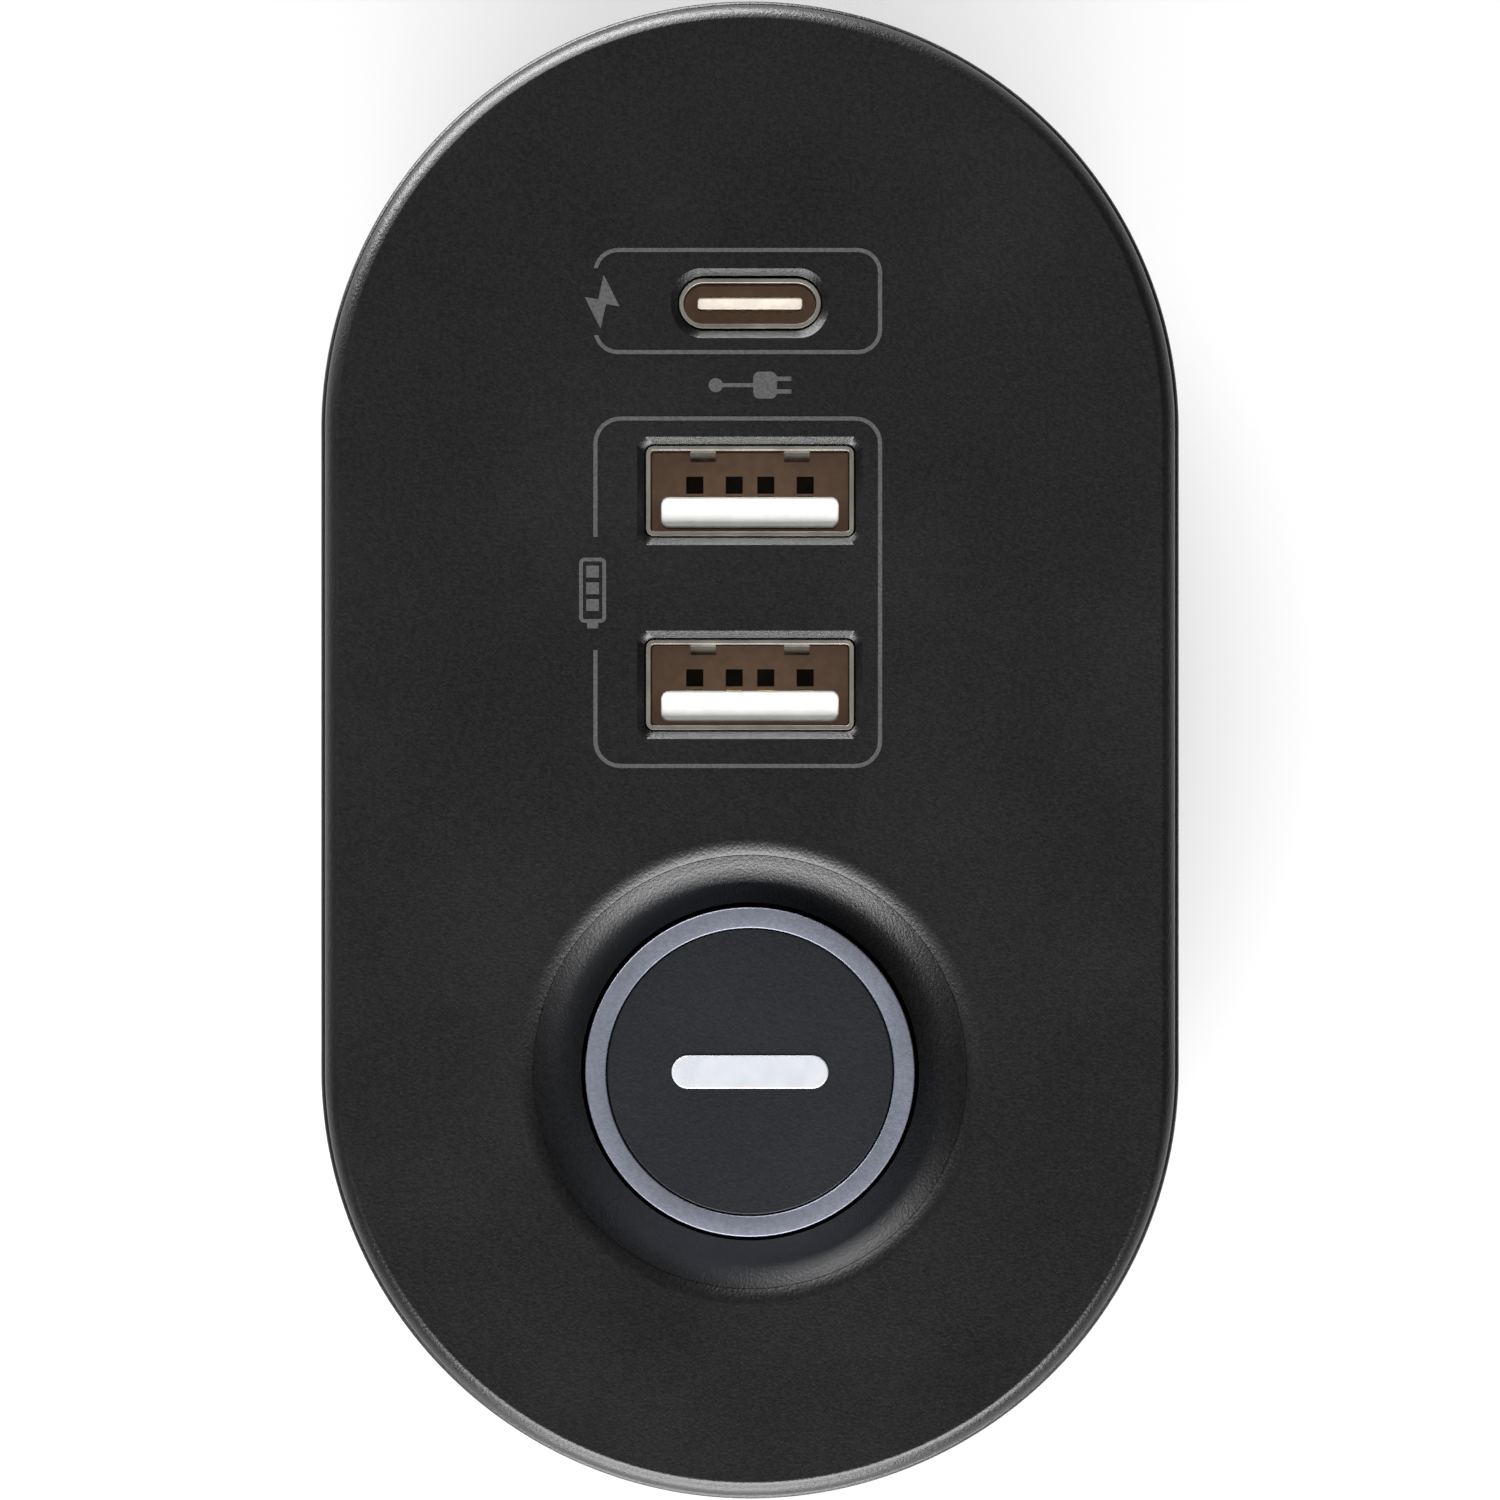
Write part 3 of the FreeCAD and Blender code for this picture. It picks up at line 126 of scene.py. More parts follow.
# Each box has a place measured from the middle of the face, a size in metres and a power.
SOFT_BOXES = {
    "overhead_box": ((0, 0, 1.9), (2.2, 2.2), 0.7),
    "button_end_box": ((1.0, 0.03, 0.76), (1.8, 0.55), 54),
    "ports_end_box": ((-0.92, -0.5, 0.68), (0.8, 0.5), 12),
    "button_end_card": ((1.0, -0.1, 0.04), (0.9, 0.25), 12),
    "ports_end_card": ((-0.92, -0.46, 0.04), (1.3, 0.25), 34),
}


def make_floor():
    bpy.ops.object.select_all(action="DESELECT")
    bpy.ops.mesh.primitive_plane_add(size=FLOOR_SIZE, location=(0, 0, 0))
    floor = bpy.context.object
    floor.name = "floor"
    material = bpy.data.materials.new("floor_paper")
    material.use_nodes = True
    shader = material.node_tree.nodes["Principled BSDF"]
    shader.inputs["Base Color"].default_value = (FLOOR_GREY,) * 3 + (1,)
    shader.inputs["Roughness"].default_value = 0.95
    shader.inputs["Specular IOR Level"].default_value = 0.0
    shader.inputs["Emission Color"].default_value = (1, 1, 1, 1)
    shader.inputs["Emission Strength"].default_value = FLOOR_GLOW
    floor.data.materials.append(material)


def soft_box(name, place, target, size, power):
    """A rectangular area light that points at a target."""
    lamp = bpy.data.lights.new(name, "AREA")
    lamp.shape = "RECTANGLE"
    lamp.size, lamp.size_y = size
    lamp.energy = power
    light = bpy.data.objects.new(name, lamp)
    light.location = place
    light.rotation_euler = (Vector(target) - Vector(place)).to_track_quat("-Z", "Y").to_euler()
    bpy.context.collection.objects.link(light)


def make_light():
    world = bpy.data.worlds.new("surroundings")
    bpy.context.scene.world = world
    world.use_nodes = True
    sky = world.node_tree.nodes["Background"]
    sky.inputs["Color"].default_value = (1, 1, 1, 1)
    sky.inputs["Strength"].default_value = WORLD_LIGHT
    for name, ((x, y, rise), size, power) in SOFT_BOXES.items():
        soft_box(name, (x, y, FACE + rise), (0, 0, FACE), size, power)


make_floor()
make_light()
bpy.context.scene.view_settings.view_transform = "Standard"

# %% [markdown]
# ## Tools for shaping
#
# Each helper does what a hand would do in the viewport: add a primitive, go into edit mode,
# pick some of its mesh and move, extrude or bevel it.  An operator works on everything that is
# selected, so a helper first clears the selection.

# %% Selecting and editing


def clear():
    bpy.ops.object.select_all(action="DESELECT")


def only(piece):
    """Select one object and make it the active one."""
    clear()
    piece.select_set(True)
    bpy.context.view_layer.objects.active = piece


def edit(piece):
    only(piece)
    bpy.ops.object.mode_set(mode="EDIT")


def leave():
    """Make the faces point outwards and go back to object mode."""
    bpy.ops.mesh.select_all(action="SELECT")
    bpy.ops.mesh.normals_make_consistent(inside=False)
    bpy.ops.object.mode_set(mode="OBJECT")


def pick(piece, kind, test):
    """In edit mode, select just the verts, edges or faces that pass a test."""
    bpy.ops.mesh.select_mode(type={"verts": "VERT", "edges": "EDGE", "faces": "FACE"}[kind])
    bpy.ops.mesh.select_all(action="DESELECT")
    mesh = bmesh.from_edit_mesh(piece.data)
    for item in [item for item in getattr(mesh, kind) if test(item)]:
        item.select_set(True)
    mesh.select_flush_mode()
    bmesh.update_edit_mesh(piece.data)


def extrude(*shift):
    """In edit mode, draw the selected mesh out by a shift."""
    bpy.ops.mesh.extrude_region_move(TRANSFORM_OT_translate={"value": shift})


def close_ends(bridge=False):
    """In edit mode, fill the open ends, or join them to each other."""
    bpy.ops.mesh.select_mode(type="EDGE")
    bpy.ops.mesh.select_all(action="DESELECT")
    bpy.ops.mesh.select_non_manifold()
    if bridge:
        bpy.ops.mesh.bridge_edge_loops()
    else:
        bpy.ops.mesh.edge_face_add()


def settle(piece):
    """Put the object's place and size into its mesh."""
    only(piece)
    bpy.ops.object.transform_apply(location=True, rotation=True, scale=True)
    return piece


def new_piece(name):
    piece = bpy.context.object
    piece.name = name
    piece.data.name = name
    return settle(piece)


# %% Blocks, pills and turned shapes


def all_at(axis, level, near=1e-6):
    """A test for edges and faces that lie wholly at one level of an axis."""
    return lambda item: all(abs(v.co[axis] - level) < near for v in item.verts)


def bevel(piece, test, width, segments=4, profile=0.5):
    edit(piece)
    pick(piece, "edges", test)
    bpy.ops.mesh.bevel(offset=width, segments=segments, profile=profile, affect="EDGES")
    leave()


def block(name, low, high, corner=0.0, axis=2, segments=6):
    """A block between two corners; the edges along one axis can be rounded."""
    low, high = Vector(low), Vector(high)
    clear()
    bpy.ops.mesh.primitive_cube_add(size=1, location=(low + high) / 2, scale=high - low)
    piece = new_piece(name)
    if corner:
        others = [a for a in range(3) if a != axis]
        bevel(piece, lambda e: all(abs(e.verts[0].co[a] - e.verts[1].co[a]) < 1e-7
                                   for a in others), corner, segments)
    return piece


def post(name, x, y, width, length, low, high, corner=0.0):
    """A block centred on a point of the plan, between two heights."""
    return block(name, (x - width / 2, y - length / 2, low),
                 (x + width / 2, y + length / 2, high), corner)


def panel(name, centre, width, height, near, far, corner=0.0, segments=6):
    """A block centred on a point of a flat, between two distances along Y."""
    return block(name, (centre.x - width / 2, near, centre.z - height / 2),
                 (centre.x + width / 2, far, centre.z + height / 2), corner, 1, segments)


def pill(name, x, y, length, width, low, high, steps=96, upright=False):
    """A solid with a pill-shaped plan: a disc whose halves are drawn apart, then extruded."""
    clear()
    bpy.ops.mesh.primitive_circle_add(vertices=steps, radius=width / 2, fill_type="NGON",
                                      location=(x, y, low), rotation=(0, 0, math.pi / steps))
    piece = new_piece(name)
    edit(piece)
    axis, centre = (1, y) if upright else (0, x)
    for sign in (-1, 1):
        pick(piece, "verts", lambda v: sign * (v.co[axis] - centre) > 0)
        shift = [0, 0, 0]
        shift[axis] = sign * (length - width) / 2
        bpy.ops.transform.translate(value=shift)
    bpy.ops.mesh.select_all(action="SELECT")
    extrude(0, 0, high - low)
    leave()
    return piece


def turned(name, x, y, profile, steps=96, closed=False):
    """A turned shape: a ring of points is extruded and resized along a profile of (radius, z)."""
    clear()
    radius, height = profile[0]
    bpy.ops.mesh.primitive_circle_add(vertices=steps, radius=radius, location=(x, y, height))
    piece = new_piece(name)
    edit(piece)
    bpy.ops.mesh.select_all(action="SELECT")
    for next_radius, next_height in profile[1:]:
        extrude(0, 0, next_height - height)
        ratio = next_radius / radius
        bpy.ops.transform.resize(value=(ratio, ratio, 1), center_override=(x, y, next_height))
        radius, height = next_radius, next_height
    close_ends(closed)
    leave()
    return piece


def arc(centre, radius, start, stop, steps):
    """Points of a circular arc for a profile; angles in degrees."""
    angles = [math.radians(start + (stop - start) * i / steps) for i in range(steps + 1)]
    return [(centre[0] + radius * math.cos(a), centre[1] + radius * math.sin(a)) for a in angles]


# %% Cutting, joining, copying and smoothing


def combine(piece, operation, others):
    """Cut one solid with others, or unite it with them, and drop the others."""
    for other in others:
        only(piece)
        change = piece.modifiers.new("change", "BOOLEAN")
        change.operation = operation
        change.solver = "EXACT"
        change.object = other
        bpy.ops.object.modifier_apply(modifier="change")
        bpy.data.objects.remove(other)
    return piece


def carve(piece, *tools):
    return combine(piece, "DIFFERENCE", tools)


def weld(piece, *others):
    return combine(piece, "UNION", others)


def gather(piece, *others):
    """Join separate solids into one object."""
    only(piece)
    for other in others:
        other.select_set(True)
    bpy.ops.object.join()
    return piece


def copy_of(piece, name, shift, turn):
    """A copy with its own mesh, turned about Z and moved, with its place in its mesh."""
    only(piece)
    bpy.ops.object.duplicate()
    twin = bpy.context.object
    twin.rotation_euler = (0, 0, turn)
    twin.location = shift
    return new_piece(name)


def smooth(piece, angle=40):
    """Smooth shading that keeps flats flat and corners crisp."""
    only(piece)
    bpy.ops.object.shade_smooth_by_angle(angle=math.radians(angle))
    weight = piece.modifiers.new("weight", "WEIGHTED_NORMAL")
    weight.keep_sharp = True
    bpy.ops.object.modifier_apply(modifier="weight")
    return piece


# %% [markdown]
# ## Finishes
#
# A finish is a Principled shader whose even values sit on its own sockets, plus noise on Object
# coordinates for what varies: the spark texture of the mould, the grain of brushed metal, a
# faint change of colour.  Object coordinates are metres here, so a grain of a fifth of a
# millimetre is a noise scale of about 5000.  The depth of a relief is given in micrometres.

# %% The parts of a finish
TONE_REACH, EVEN = (0.35, 0.65), (1, 1, 1)
MICROMETRE = 0.001 * MM


def finish(name, colour, roughness, metallic=0.0):
    """A material with even values; patterns are added to it afterwards."""
    material = bpy.data.materials.new(name)
    material.use_nodes = True
    shader = material.node_tree.nodes["Principled BSDF"]
    shader.inputs["Base Color"].default_value = (*colour, 1)
    shader.inputs["Roughness"].default_value = roughness
    shader.inputs["Metallic"].default_value = metallic
    return material


def vary(material, socket, kind, entry, way_out, scale, detail, stretch):
    """Send noise on Object coordinates through a node into one socket of the shader."""
    nodes, links = material.node_tree.nodes, material.node_tree.links
    place = nodes.new("ShaderNodeTexCoord")
    mapping = nodes.new("ShaderNodeMapping")
    mapping.inputs["Scale"].default_value = stretch
    pattern = nodes.new("ShaderNodeTexNoise")
    pattern.inputs["Scale"].default_value = scale
    pattern.inputs["Detail"].default_value = detail
    node = nodes.new(kind)
    links.new(place.outputs["Object"], mapping.inputs["Vector"])
    links.new(mapping.outputs["Vector"], pattern.inputs["Vector"])
    links.new(pattern.outputs["Fac"], node.inputs[entry])
    links.new(node.outputs[way_out], nodes["Principled BSDF"].inputs[socket])
    return node


def grain(material, scale, depth, detail=4.0, stretch=EVEN):
    """Fine relief from noise."""
    bump = vary(material, "Normal", "ShaderNodeBump", "Height", "Normal", scale, detail, stretch)
    bump.inputs["Distance"].default_value = depth * MICROMETRE
    return material


def mottle(material, dark, light, scale, stretch=EVEN):
    """Colour that wanders between two tones."""
    ramp = vary(material, "Base Color", "ShaderNodeValToRGB", "Fac", "Color", scale, 2.0, stretch)
    for stop, place, tone in zip(ramp.color_ramp.elements, TONE_REACH, (dark, light)):
        stop.position = place
        stop.color = (*tone, 1)


def uneven_gloss(material, low, high, scale, stretch=EVEN):
    """Roughness that varies gently over the surface."""
    span = vary(material, "Roughness", "ShaderNodeMapRange", "Value", "Result", scale, 2.0, stretch)
    span.inputs["To Min"].default_value = low
    span.inputs["To Max"].default_value = high


# %% Plastics, rubber and coatings


def plastic(name, dark, light, rough, grain_scale, depth, shine=0.5):
    """Moulded plastic: two close tones, a spark texture and a slightly uneven gloss."""
    material = finish(name, light, rough)
    material.node_tree.nodes["Principled BSDF"].inputs["Specular IOR Level"].default_value = shine
    mottle(material, dark, light, grain_scale * 0.8)
    grain(material, grain_scale, depth)
    uneven_gloss(material, rough - 0.05, rough + 0.05, 90)
    return material


# Each material slot has a name, a dark and a light tone, a roughness, a grain and a depth.
PLASTICS = {
    "housing_plastic": ("spark_textured_black", (0.0006,) * 3, (0.0040, 0.0040, 0.0041),
                        0.365, 5400, 26),
    "socket_plastic": ("satin_black_moulding", (0.012, 0.012, 0.0125), (0.016, 0.016, 0.0165),
                       0.38, 2600, 10),
    "button_plastic": ("navy_charcoal_cap", (0.0026, 0.0030, 0.0050), (0.0050, 0.0056, 0.0084),
                       0.41, 5600, 22, 0.45),
    "carrier_plastic": ("pale_grey_nylon", (0.50, 0.49, 0.45), (0.60, 0.58, 0.53), 0.5, 1800, 20),
    "shutter_plastic": ("light_grey_acetal", (0.34, 0.34, 0.33), (0.42, 0.42, 0.41), 0.4, 1500, 10),
    "white_insulator": ("white_port_moulding", (0.63, 0.63, 0.612), (0.68, 0.68, 0.662),
                        0.32, 1500, 6),
    "reset_plastic": ("red_reset_plastic", (0.30, 0.012, 0.010), (0.38, 0.018, 0.014),
                      0.32, 1800, 8),
    "foot_rubber": ("soft_black_rubber", (0.01,) * 3, (0.02,) * 3, 0.82, 1600, 40, 0.3),
    "wire_sleeve": ("wire_sleeve_red", (0.32, 0.02, 0.02), (0.42, 0.04, 0.03), 0.45, 900, 10),
    "circuit_board": ("green_solder_mask", (0.010, 0.085, 0.035), (0.016, 0.120, 0.050),
                      0.30, 700, 20),
    "choke_core": ("enamelled_winding", (0.20, 0.06, 0.02), (0.36, 0.12, 0.04), 0.35, 1400, 120),
    "varistor_coat": ("dipped_blue_epoxy", (0.03, 0.09, 0.30), (0.05, 0.14, 0.42), 0.35, 500, 60),
}
FINISHES = {slot: plastic(*row) for slot, row in PLASTICS.items()}
print(len(bpy.data.materials), "materials so far")

# %% Metals, ink and light bar


def metal(name, dark, light, rough, scale, depth, stretch=EVEN):
    """Bare or plated metal with its working marks."""
    material = finish(name, light, rough, 1.0)
    mottle(material, dark, light, scale * 0.5, stretch)
    grain(material, scale, depth, 2.0, stretch)
    uneven_gloss(material, rough - 0.06, rough + 0.06, 300, stretch)
    return material


METALS = {
    "button_satin": ("satin_blue_grey", (0.165, 0.175, 0.212), (0.195, 0.207, 0.248),
                     0.55, 6200, 10),
    "plated_shell": ("nickel_plate", (0.22, 0.205, 0.18), (0.29, 0.272, 0.24), 0.50, 900, 6,
                     (1, 1, 0.15)),
    "gold_contact": ("gold_flash", (0.78, 0.56, 0.22), (0.90, 0.68, 0.30), 0.25, 1500, 4),
    "contact_brass": ("stamped_brass", (0.58, 0.42, 0.17), (0.74, 0.56, 0.26), 0.32, 1200, 10,
                      (1, 1, 0.2)),
    "spring_steel": ("zinc_plate", (0.48, 0.49, 0.50), (0.62, 0.63, 0.65), 0.34, 1400, 10),
    "weight_steel": ("blanked_steel", (0.16, 0.16, 0.165), (0.26, 0.26, 0.265), 0.55, 700, 40),
    "capacitor_can": ("drawn_aluminium", (0.55, 0.56, 0.58), (0.70, 0.71, 0.73), 0.30, 1100, 10,
                      (0.1, 1, 1)),
}
FINISHES.update({slot: metal(*row) for slot, row in METALS.items()})


def port_floor_painted_glow_finish():
    """The brown-grey moulding at the bottom of a port, with a faint painted glow for light bounced
    into the port.
    """
    material = plastic("brown_moulding_painted_glow", (0.53, 0.38, 0.28), (0.64, 0.47, 0.345),
                       0.45, 1500, 10)
    shader = material.node_tree.nodes["Principled BSDF"]
    # Painted light: a faint warm glow, though the moulding is no lamp, stands in for light bounced
    # down into the deep port.
    shader.inputs["Emission Color"].default_value = (1.0, 0.60, 0.40, 1)
    shader.inputs["Emission Strength"].default_value = 0.05
    return material


def ink_finish():
    """Grey pad-print ink: thin, matte, a little broken up."""
    material = finish("grey_print", (0.045,) * 3, 0.6)
    mottle(material, (0.027,) * 3, (0.046,) * 3, 5000)
    return grain(material, 5000, 10)


def bar_finish():
    """A milky diffuser: pale, faintly cloudy, with light scattered under its surface."""
    material = finish("milky_diffuser", (0.37, 0.384, 0.41), 0.28)
    shader = material.node_tree.nodes["Principled BSDF"]
    shader.inputs["Subsurface Weight"].default_value = 0.15
    shader.inputs["Subsurface Scale"].default_value = 0.0006
    mottle(material, (0.355, 0.368, 0.395), (0.39, 0.403, 0.43), 700)
    return grain(material, 2500, 4)


FINISHES["light_bar"] = bar_finish()
brown_with_painted_glow, grey_print = port_floor_painted_glow_finish(), ink_finish()
warm_white = plastic("warm_white_moulding", (0.54, 0.49, 0.42), (0.61, 0.56, 0.49), 0.35, 1500, 6)
# Near-black finish for the pocket plugs: painted shade for the unlit depth of the pockets.
painted_pocket_shade = plastic("painted_pocket_shade", (0.010, 0.009, 0.008), (0.016, 0.014, 0.012), 0.6, 1500, 10)
print(len(bpy.data.materials), "materials")

# %% [markdown]
# ## Giving a piece its finish and its place in the frame
#
# Each new piece rides on a body, stands for the nodes it replaces, which are hidden, and takes
# its finish from a named material slot unless another finish is named.  One helper does it all,
# so that no piece is left without them.

# %% Dress and fit a piece


def fit(piece, body, slot, *nodes, material=None):
    """Finish a piece, hang it on its body and hide the nodes that it stands for."""
    piece.data.materials.clear()
    piece.data.materials.append(material or FINISHES[slot])
    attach(piece, body)
    if nodes:
        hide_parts(*nodes)
    print(piece.name, len(piece.data.polygons), "faces on", body)


def fit_all(make, name, places, slot, node):
    """Like pieces at several places; the first one stands for the node that holds them all."""
    for number, (x, y) in enumerate(places, 1):
        piece = make(f"{name}_{number}", x, y)
        fit(piece, "housing", slot, *([node] if number == 1 else []))


# %% [markdown]
# ## Top cover
#
# The face is one moulding: a pill-shaped plate with a rounded edge, a dish pressed in round the
# button and three cut-outs with chamfered mouths.  It starts as a pill, the dish is cut with a
# turned tool and its lip is then bevelled, because the real lip rolls softly into the face.

# %% The plate with its rounded edge
EDGE_ROUND = 0.9 * MM
EDGE_DEPTH = 1.2 * MM
PLATE_DEPTH = 3.0 * MM
COVER_STEP = 2.25 * MM
SOFT_PROFILE = 0.38
cover_length = cover_high.x - cover_low.x
cover_width = cover_high.y - cover_low.y


def cover_plate():
    plate = pill("cover_skin", 0, 0, cover_length, cover_width, FACE - EDGE_DEPTH, FACE, 256)
    bevel(plate, all_at(2, FACE), EDGE_ROUND, 10, SOFT_PROFILE)
    edit(plate)
    pick(plate, "faces", all_at(2, FACE - EDGE_DEPTH))
    bpy.ops.mesh.inset(thickness=COVER_STEP)
    extrude(0, 0, EDGE_DEPTH - PLATE_DEPTH)
    leave()
    return plate


cover = cover_plate()
print("plate faces:", len(cover.data.polygons))

# %% The dish round the button, with a soft lip
DISH_RADIUS = 13.93 * MM
DISH_DEPTH = 1.9 * MM
DISH_CURVE = 14.0 * MM
BORE_RADIUS = RING_RADIUS + 0.3 * MM
COLLAR_RADIUS = BORE_RADIUS + 1.55 * MM
COLLAR_TOP, COLLAR_DEPTH = 2.8 * MM, 8.0 * MM
LIP_FLARE, LIP_ROUND = 0.9 * MM, 0.75 * MM
OVER = 1 * MM


def dish_wall(steps=10):
    """The hollow wall of the dish from its lip down to the bore, as profile points."""
    outer, inner = Vector((DISH_RADIUS, FACE)), Vector((BORE_RADIUS, FACE - DISH_DEPTH))
    chord = outer - inner
    rise = math.sqrt(DISH_CURVE ** 2 - (chord.length / 2) ** 2)
    centre = (outer + inner) / 2 + Vector((-chord.y, chord.x)) * (rise / chord.length)
    start = math.degrees(math.atan2(outer.y - centre.y, outer.x - centre.x))
    stop = math.degrees(math.atan2(inner.y - centre.y, inner.x - centre.x))
    return arc(centre, DISH_CURVE, start, stop, steps)


def cut_dish(plate):
    collar = turned("collar", BUTTON.x, BUTTON.y, [
        (COLLAR_RADIUS, FACE - COLLAR_TOP), (COLLAR_RADIUS, FACE - COLLAR_DEPTH)], 128)
    weld(plate, collar)
    above = (DISH_RADIUS + LIP_FLARE, FACE + OVER)
    below = (BORE_RADIUS, FACE - COLLAR_DEPTH - OVER)
    tool = turned("dish_tool", BUTTON.x, BUTTON.y, [above, *dish_wall(), below], 128)
    carve(plate, tool)
    bevel(plate, on_lip, LIP_ROUND, 6)


def on_lip(edge, near=2e-5):
    """A test for the edges where the dish meets the face."""
    return all(abs(v.co.z - FACE) < near and
               abs(math.hypot(v.co.x - BUTTON.x, v.co.y - BUTTON.y) - DISH_RADIUS) < near
               for v in edge.verts)


cut_dish(cover)
print("with its dish:", len(cover.data.polygons))

# %% The chamfered port cut-outs
PORT_CHAMFER, PORT_CUT = 0.45 * MM, 8.0 * MM
C_LENGTH, C_WIDTH, C_GAP = 8.94 * MM, 3.16 * MM, 0.16 * MM
A_LENGTH, A_WIDTH, A_GAP, A_CORNER = 13.1 * MM, 5.7 * MM, 0.1 * MM, 0.5 * MM


def flare(tool, centre, size):
    """Widen a cutting tool by the chamfer where it leaves the face, then carry it on upwards."""
    edit(tool)
    pick(tool, "faces", all_at(2, FACE - PORT_CHAMFER))
    for rise, widen in ((PORT_CHAMFER, 2 * PORT_CHAMFER), (OVER, 2 * OVER)):
        extrude(0, 0, rise)
        ratio = [(side + widen) / side for side in size]
        size = [side + widen for side in size]
        bpy.ops.transform.resize(value=(*ratio, 1), center_override=(centre.x, centre.y, FACE))
    leave()
    return tool


def port_tools():
    low, high = FACE - PORT_CUT, FACE - PORT_CHAMFER
    c_width, c_length = C_WIDTH + 2 * C_GAP, C_LENGTH + C_GAP
    tool = pill("port_tool", PORT_C.x, 0, c_length, c_width, low, high, 64, upright=True)
    tools = [flare(tool, PORT_C, (c_width, c_length))]
    a_width, a_length = A_WIDTH + 2 * A_GAP, A_LENGTH + 2 * A_GAP
    for port in PORTS_A:
        tool = post("port_tool", port.x, 0, a_width, a_length, low, high, A_CORNER + A_GAP)
        tools.append(flare(tool, port, (a_width, a_length)))
    return tools


carve(cover, *port_tools())
smooth(cover)
fit(cover, "housing", "housing_plastic", "top_cover")

# %% [markdown]
# ## Sleeve and base
#
# The body is a plain pill-shaped tube with openings in its two flats.  It starts as a solid
# pill; a smaller pill cuts its inside and rounded blocks cut the openings.  Its rim stands a
# quarter of a millimetre outside the cover, which leaves the thin line round the face.

# %% The tube and its openings
WALL = 2.4 * MM
OPENING = (34.0 * MM, 28.0 * MM, 3.0 * MM)
INLET_OPENING = (21.0 * MM, 29.0 * MM, 2.0 * MM)
BEZEL_RADIUS, BEZEL_GAP = 6.0 * MM, 0.15 * MM
RIM_ROUND, FOOT_EDGE_ROUND, OPENING_ROUND = 0.24 * MM, 0.15 * MM, 0.35 * MM
# A cutting tool starts this far inside a flat and ends this far outside it.
TOOL_IN, TOOL_OUT = 6 * MM, 2 * MM
sleeve_length = sleeve_high.x - sleeve_low.x
sleeve_width = sleeve_high.y - sleeve_low.y
outlets = [middle(f"outlet_face_{i}") for i in range(1, 6)]
inlet, reset = middle("inlet_body"), middle("reset_button")


def window(centre, size):
    """A rounded block through one flat, for cutting an opening."""
    width, height, corner = size
    depth = (FLAT - TOOL_IN, FLAT + TOOL_OUT)
    if centre.y < 0:
        depth = (-FLAT - TOOL_OUT, -FLAT + TOOL_IN)
    return panel("window_tool", centre, width, height, *depth, corner)


def round_tool(centre, radius, near, far):
    """A cylinder along Y between two distances."""
    clear()
    bpy.ops.mesh.primitive_cylinder_add(
        vertices=64, radius=radius, depth=abs(far - near),
        location=(centre.x, (near + far) / 2, centre.z), rotation=(math.pi / 2, 0, 0))
    return new_piece("round_tool")


def make_sleeve():
    tube = pill("sleeve_skin", 0, 0, sleeve_length, sleeve_width, sleeve_low.z, sleeve_high.z, 256)
    bevel(tube, all_at(2, sleeve_high.z), RIM_ROUND, 4, SOFT_PROFILE)
    bevel(tube, all_at(2, sleeve_low.z), FOOT_EDGE_ROUND, 2)
    hollow = pill("hollow_tool", 0, 0, sleeve_length - 2 * WALL, sleeve_width - 2 * WALL,
                  sleeve_low.z - OVER, sleeve_high.z + OVER, 192)
    tools = [window(centre, OPENING) for centre in outlets] + [window(inlet, INLET_OPENING)]
    tools.append(round_tool(reset, BEZEL_RADIUS + BEZEL_GAP, FLAT - TOOL_IN, FLAT + TOOL_OUT))
    return carve(tube, hollow, *tools)


sleeve = make_sleeve()

# %% Soften the rims of the openings
OPENINGS_REACH, OPENINGS_MARGIN = 17.2 * MM, 3 * MM


def on_flat(edge):
    """Edges of the openings that lie in either flat, away from the lobes."""
    low, high = sleeve_low.z + OPENINGS_MARGIN, sleeve_high.z - OPENINGS_MARGIN
    near_flat = all(abs(abs(v.co.y) - FLAT) < 1e-6 for v in edge.verts)
    inside = all(abs(v.co.x) < OPENINGS_REACH and low < v.co.z < high for v in edge.verts)
    return near_flat and inside and len(edge.link_faces) == 2 and edge.calc_face_angle(0) > 0.5


bevel(sleeve, on_flat, OPENING_ROUND, 3)
smooth(sleeve)
fit(sleeve, "housing", "housing_plastic", "housing_sleeve")

# %% The base cover, its feet and screws
CORNERS = [(a, b) for a in (-1, 1) for b in (-1, 1)]
BASE_ROUND, BASE_FIT, BASE_STEP = 1.0 * MM, 0.1 * MM, 1.0 * MM
FOOT_RADIUS, FOOT_SEAT = 6.0 * MM, 0.8 * MM
FOOT_PLACES = [(a * 22 * MM, b * 17 * MM) for a, b in CORNERS]
SINK_RADIUS, SINK_DEPTH = 3.1 * MM, 3 * MM
TIE = 20.0 * MM * math.cos(math.radians(45))
TIE_X = (sleeve_length - sleeve_width) / 2 + TIE
TIE_PLACES = [(a * TIE_X, b * TIE) for a, b in CORNERS]
HEAD_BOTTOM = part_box("tie_screws")[0].z


def make_base():
    plate = pill("base_skin", 0, 0, sleeve_length, sleeve_width, base_low.z, sleeve_low.z, 256)
    bevel(plate, all_at(2, base_low.z), BASE_ROUND, 6)
    edit(plate)
    pick(plate, "faces", all_at(2, sleeve_low.z))
    bpy.ops.mesh.inset(thickness=WALL + BASE_FIT)
    extrude(0, 0, base_high.z - sleeve_low.z - BASE_STEP)
    leave()
    for places, radius, depth, steps in ((FOOT_PLACES, FOOT_RADIUS + BASE_FIT, FOOT_SEAT, 64),
                                         (TIE_PLACES, SINK_RADIUS, SINK_DEPTH, 48)):
        for x, y in places:
            profile = [(radius, base_low.z - OVER), (radius, base_low.z + depth)]
            carve(plate, turned("seat_tool", x, y, profile, steps))
    return plate


base = smooth(make_base())
fit(base, "housing", "housing_plastic", "base_cover")


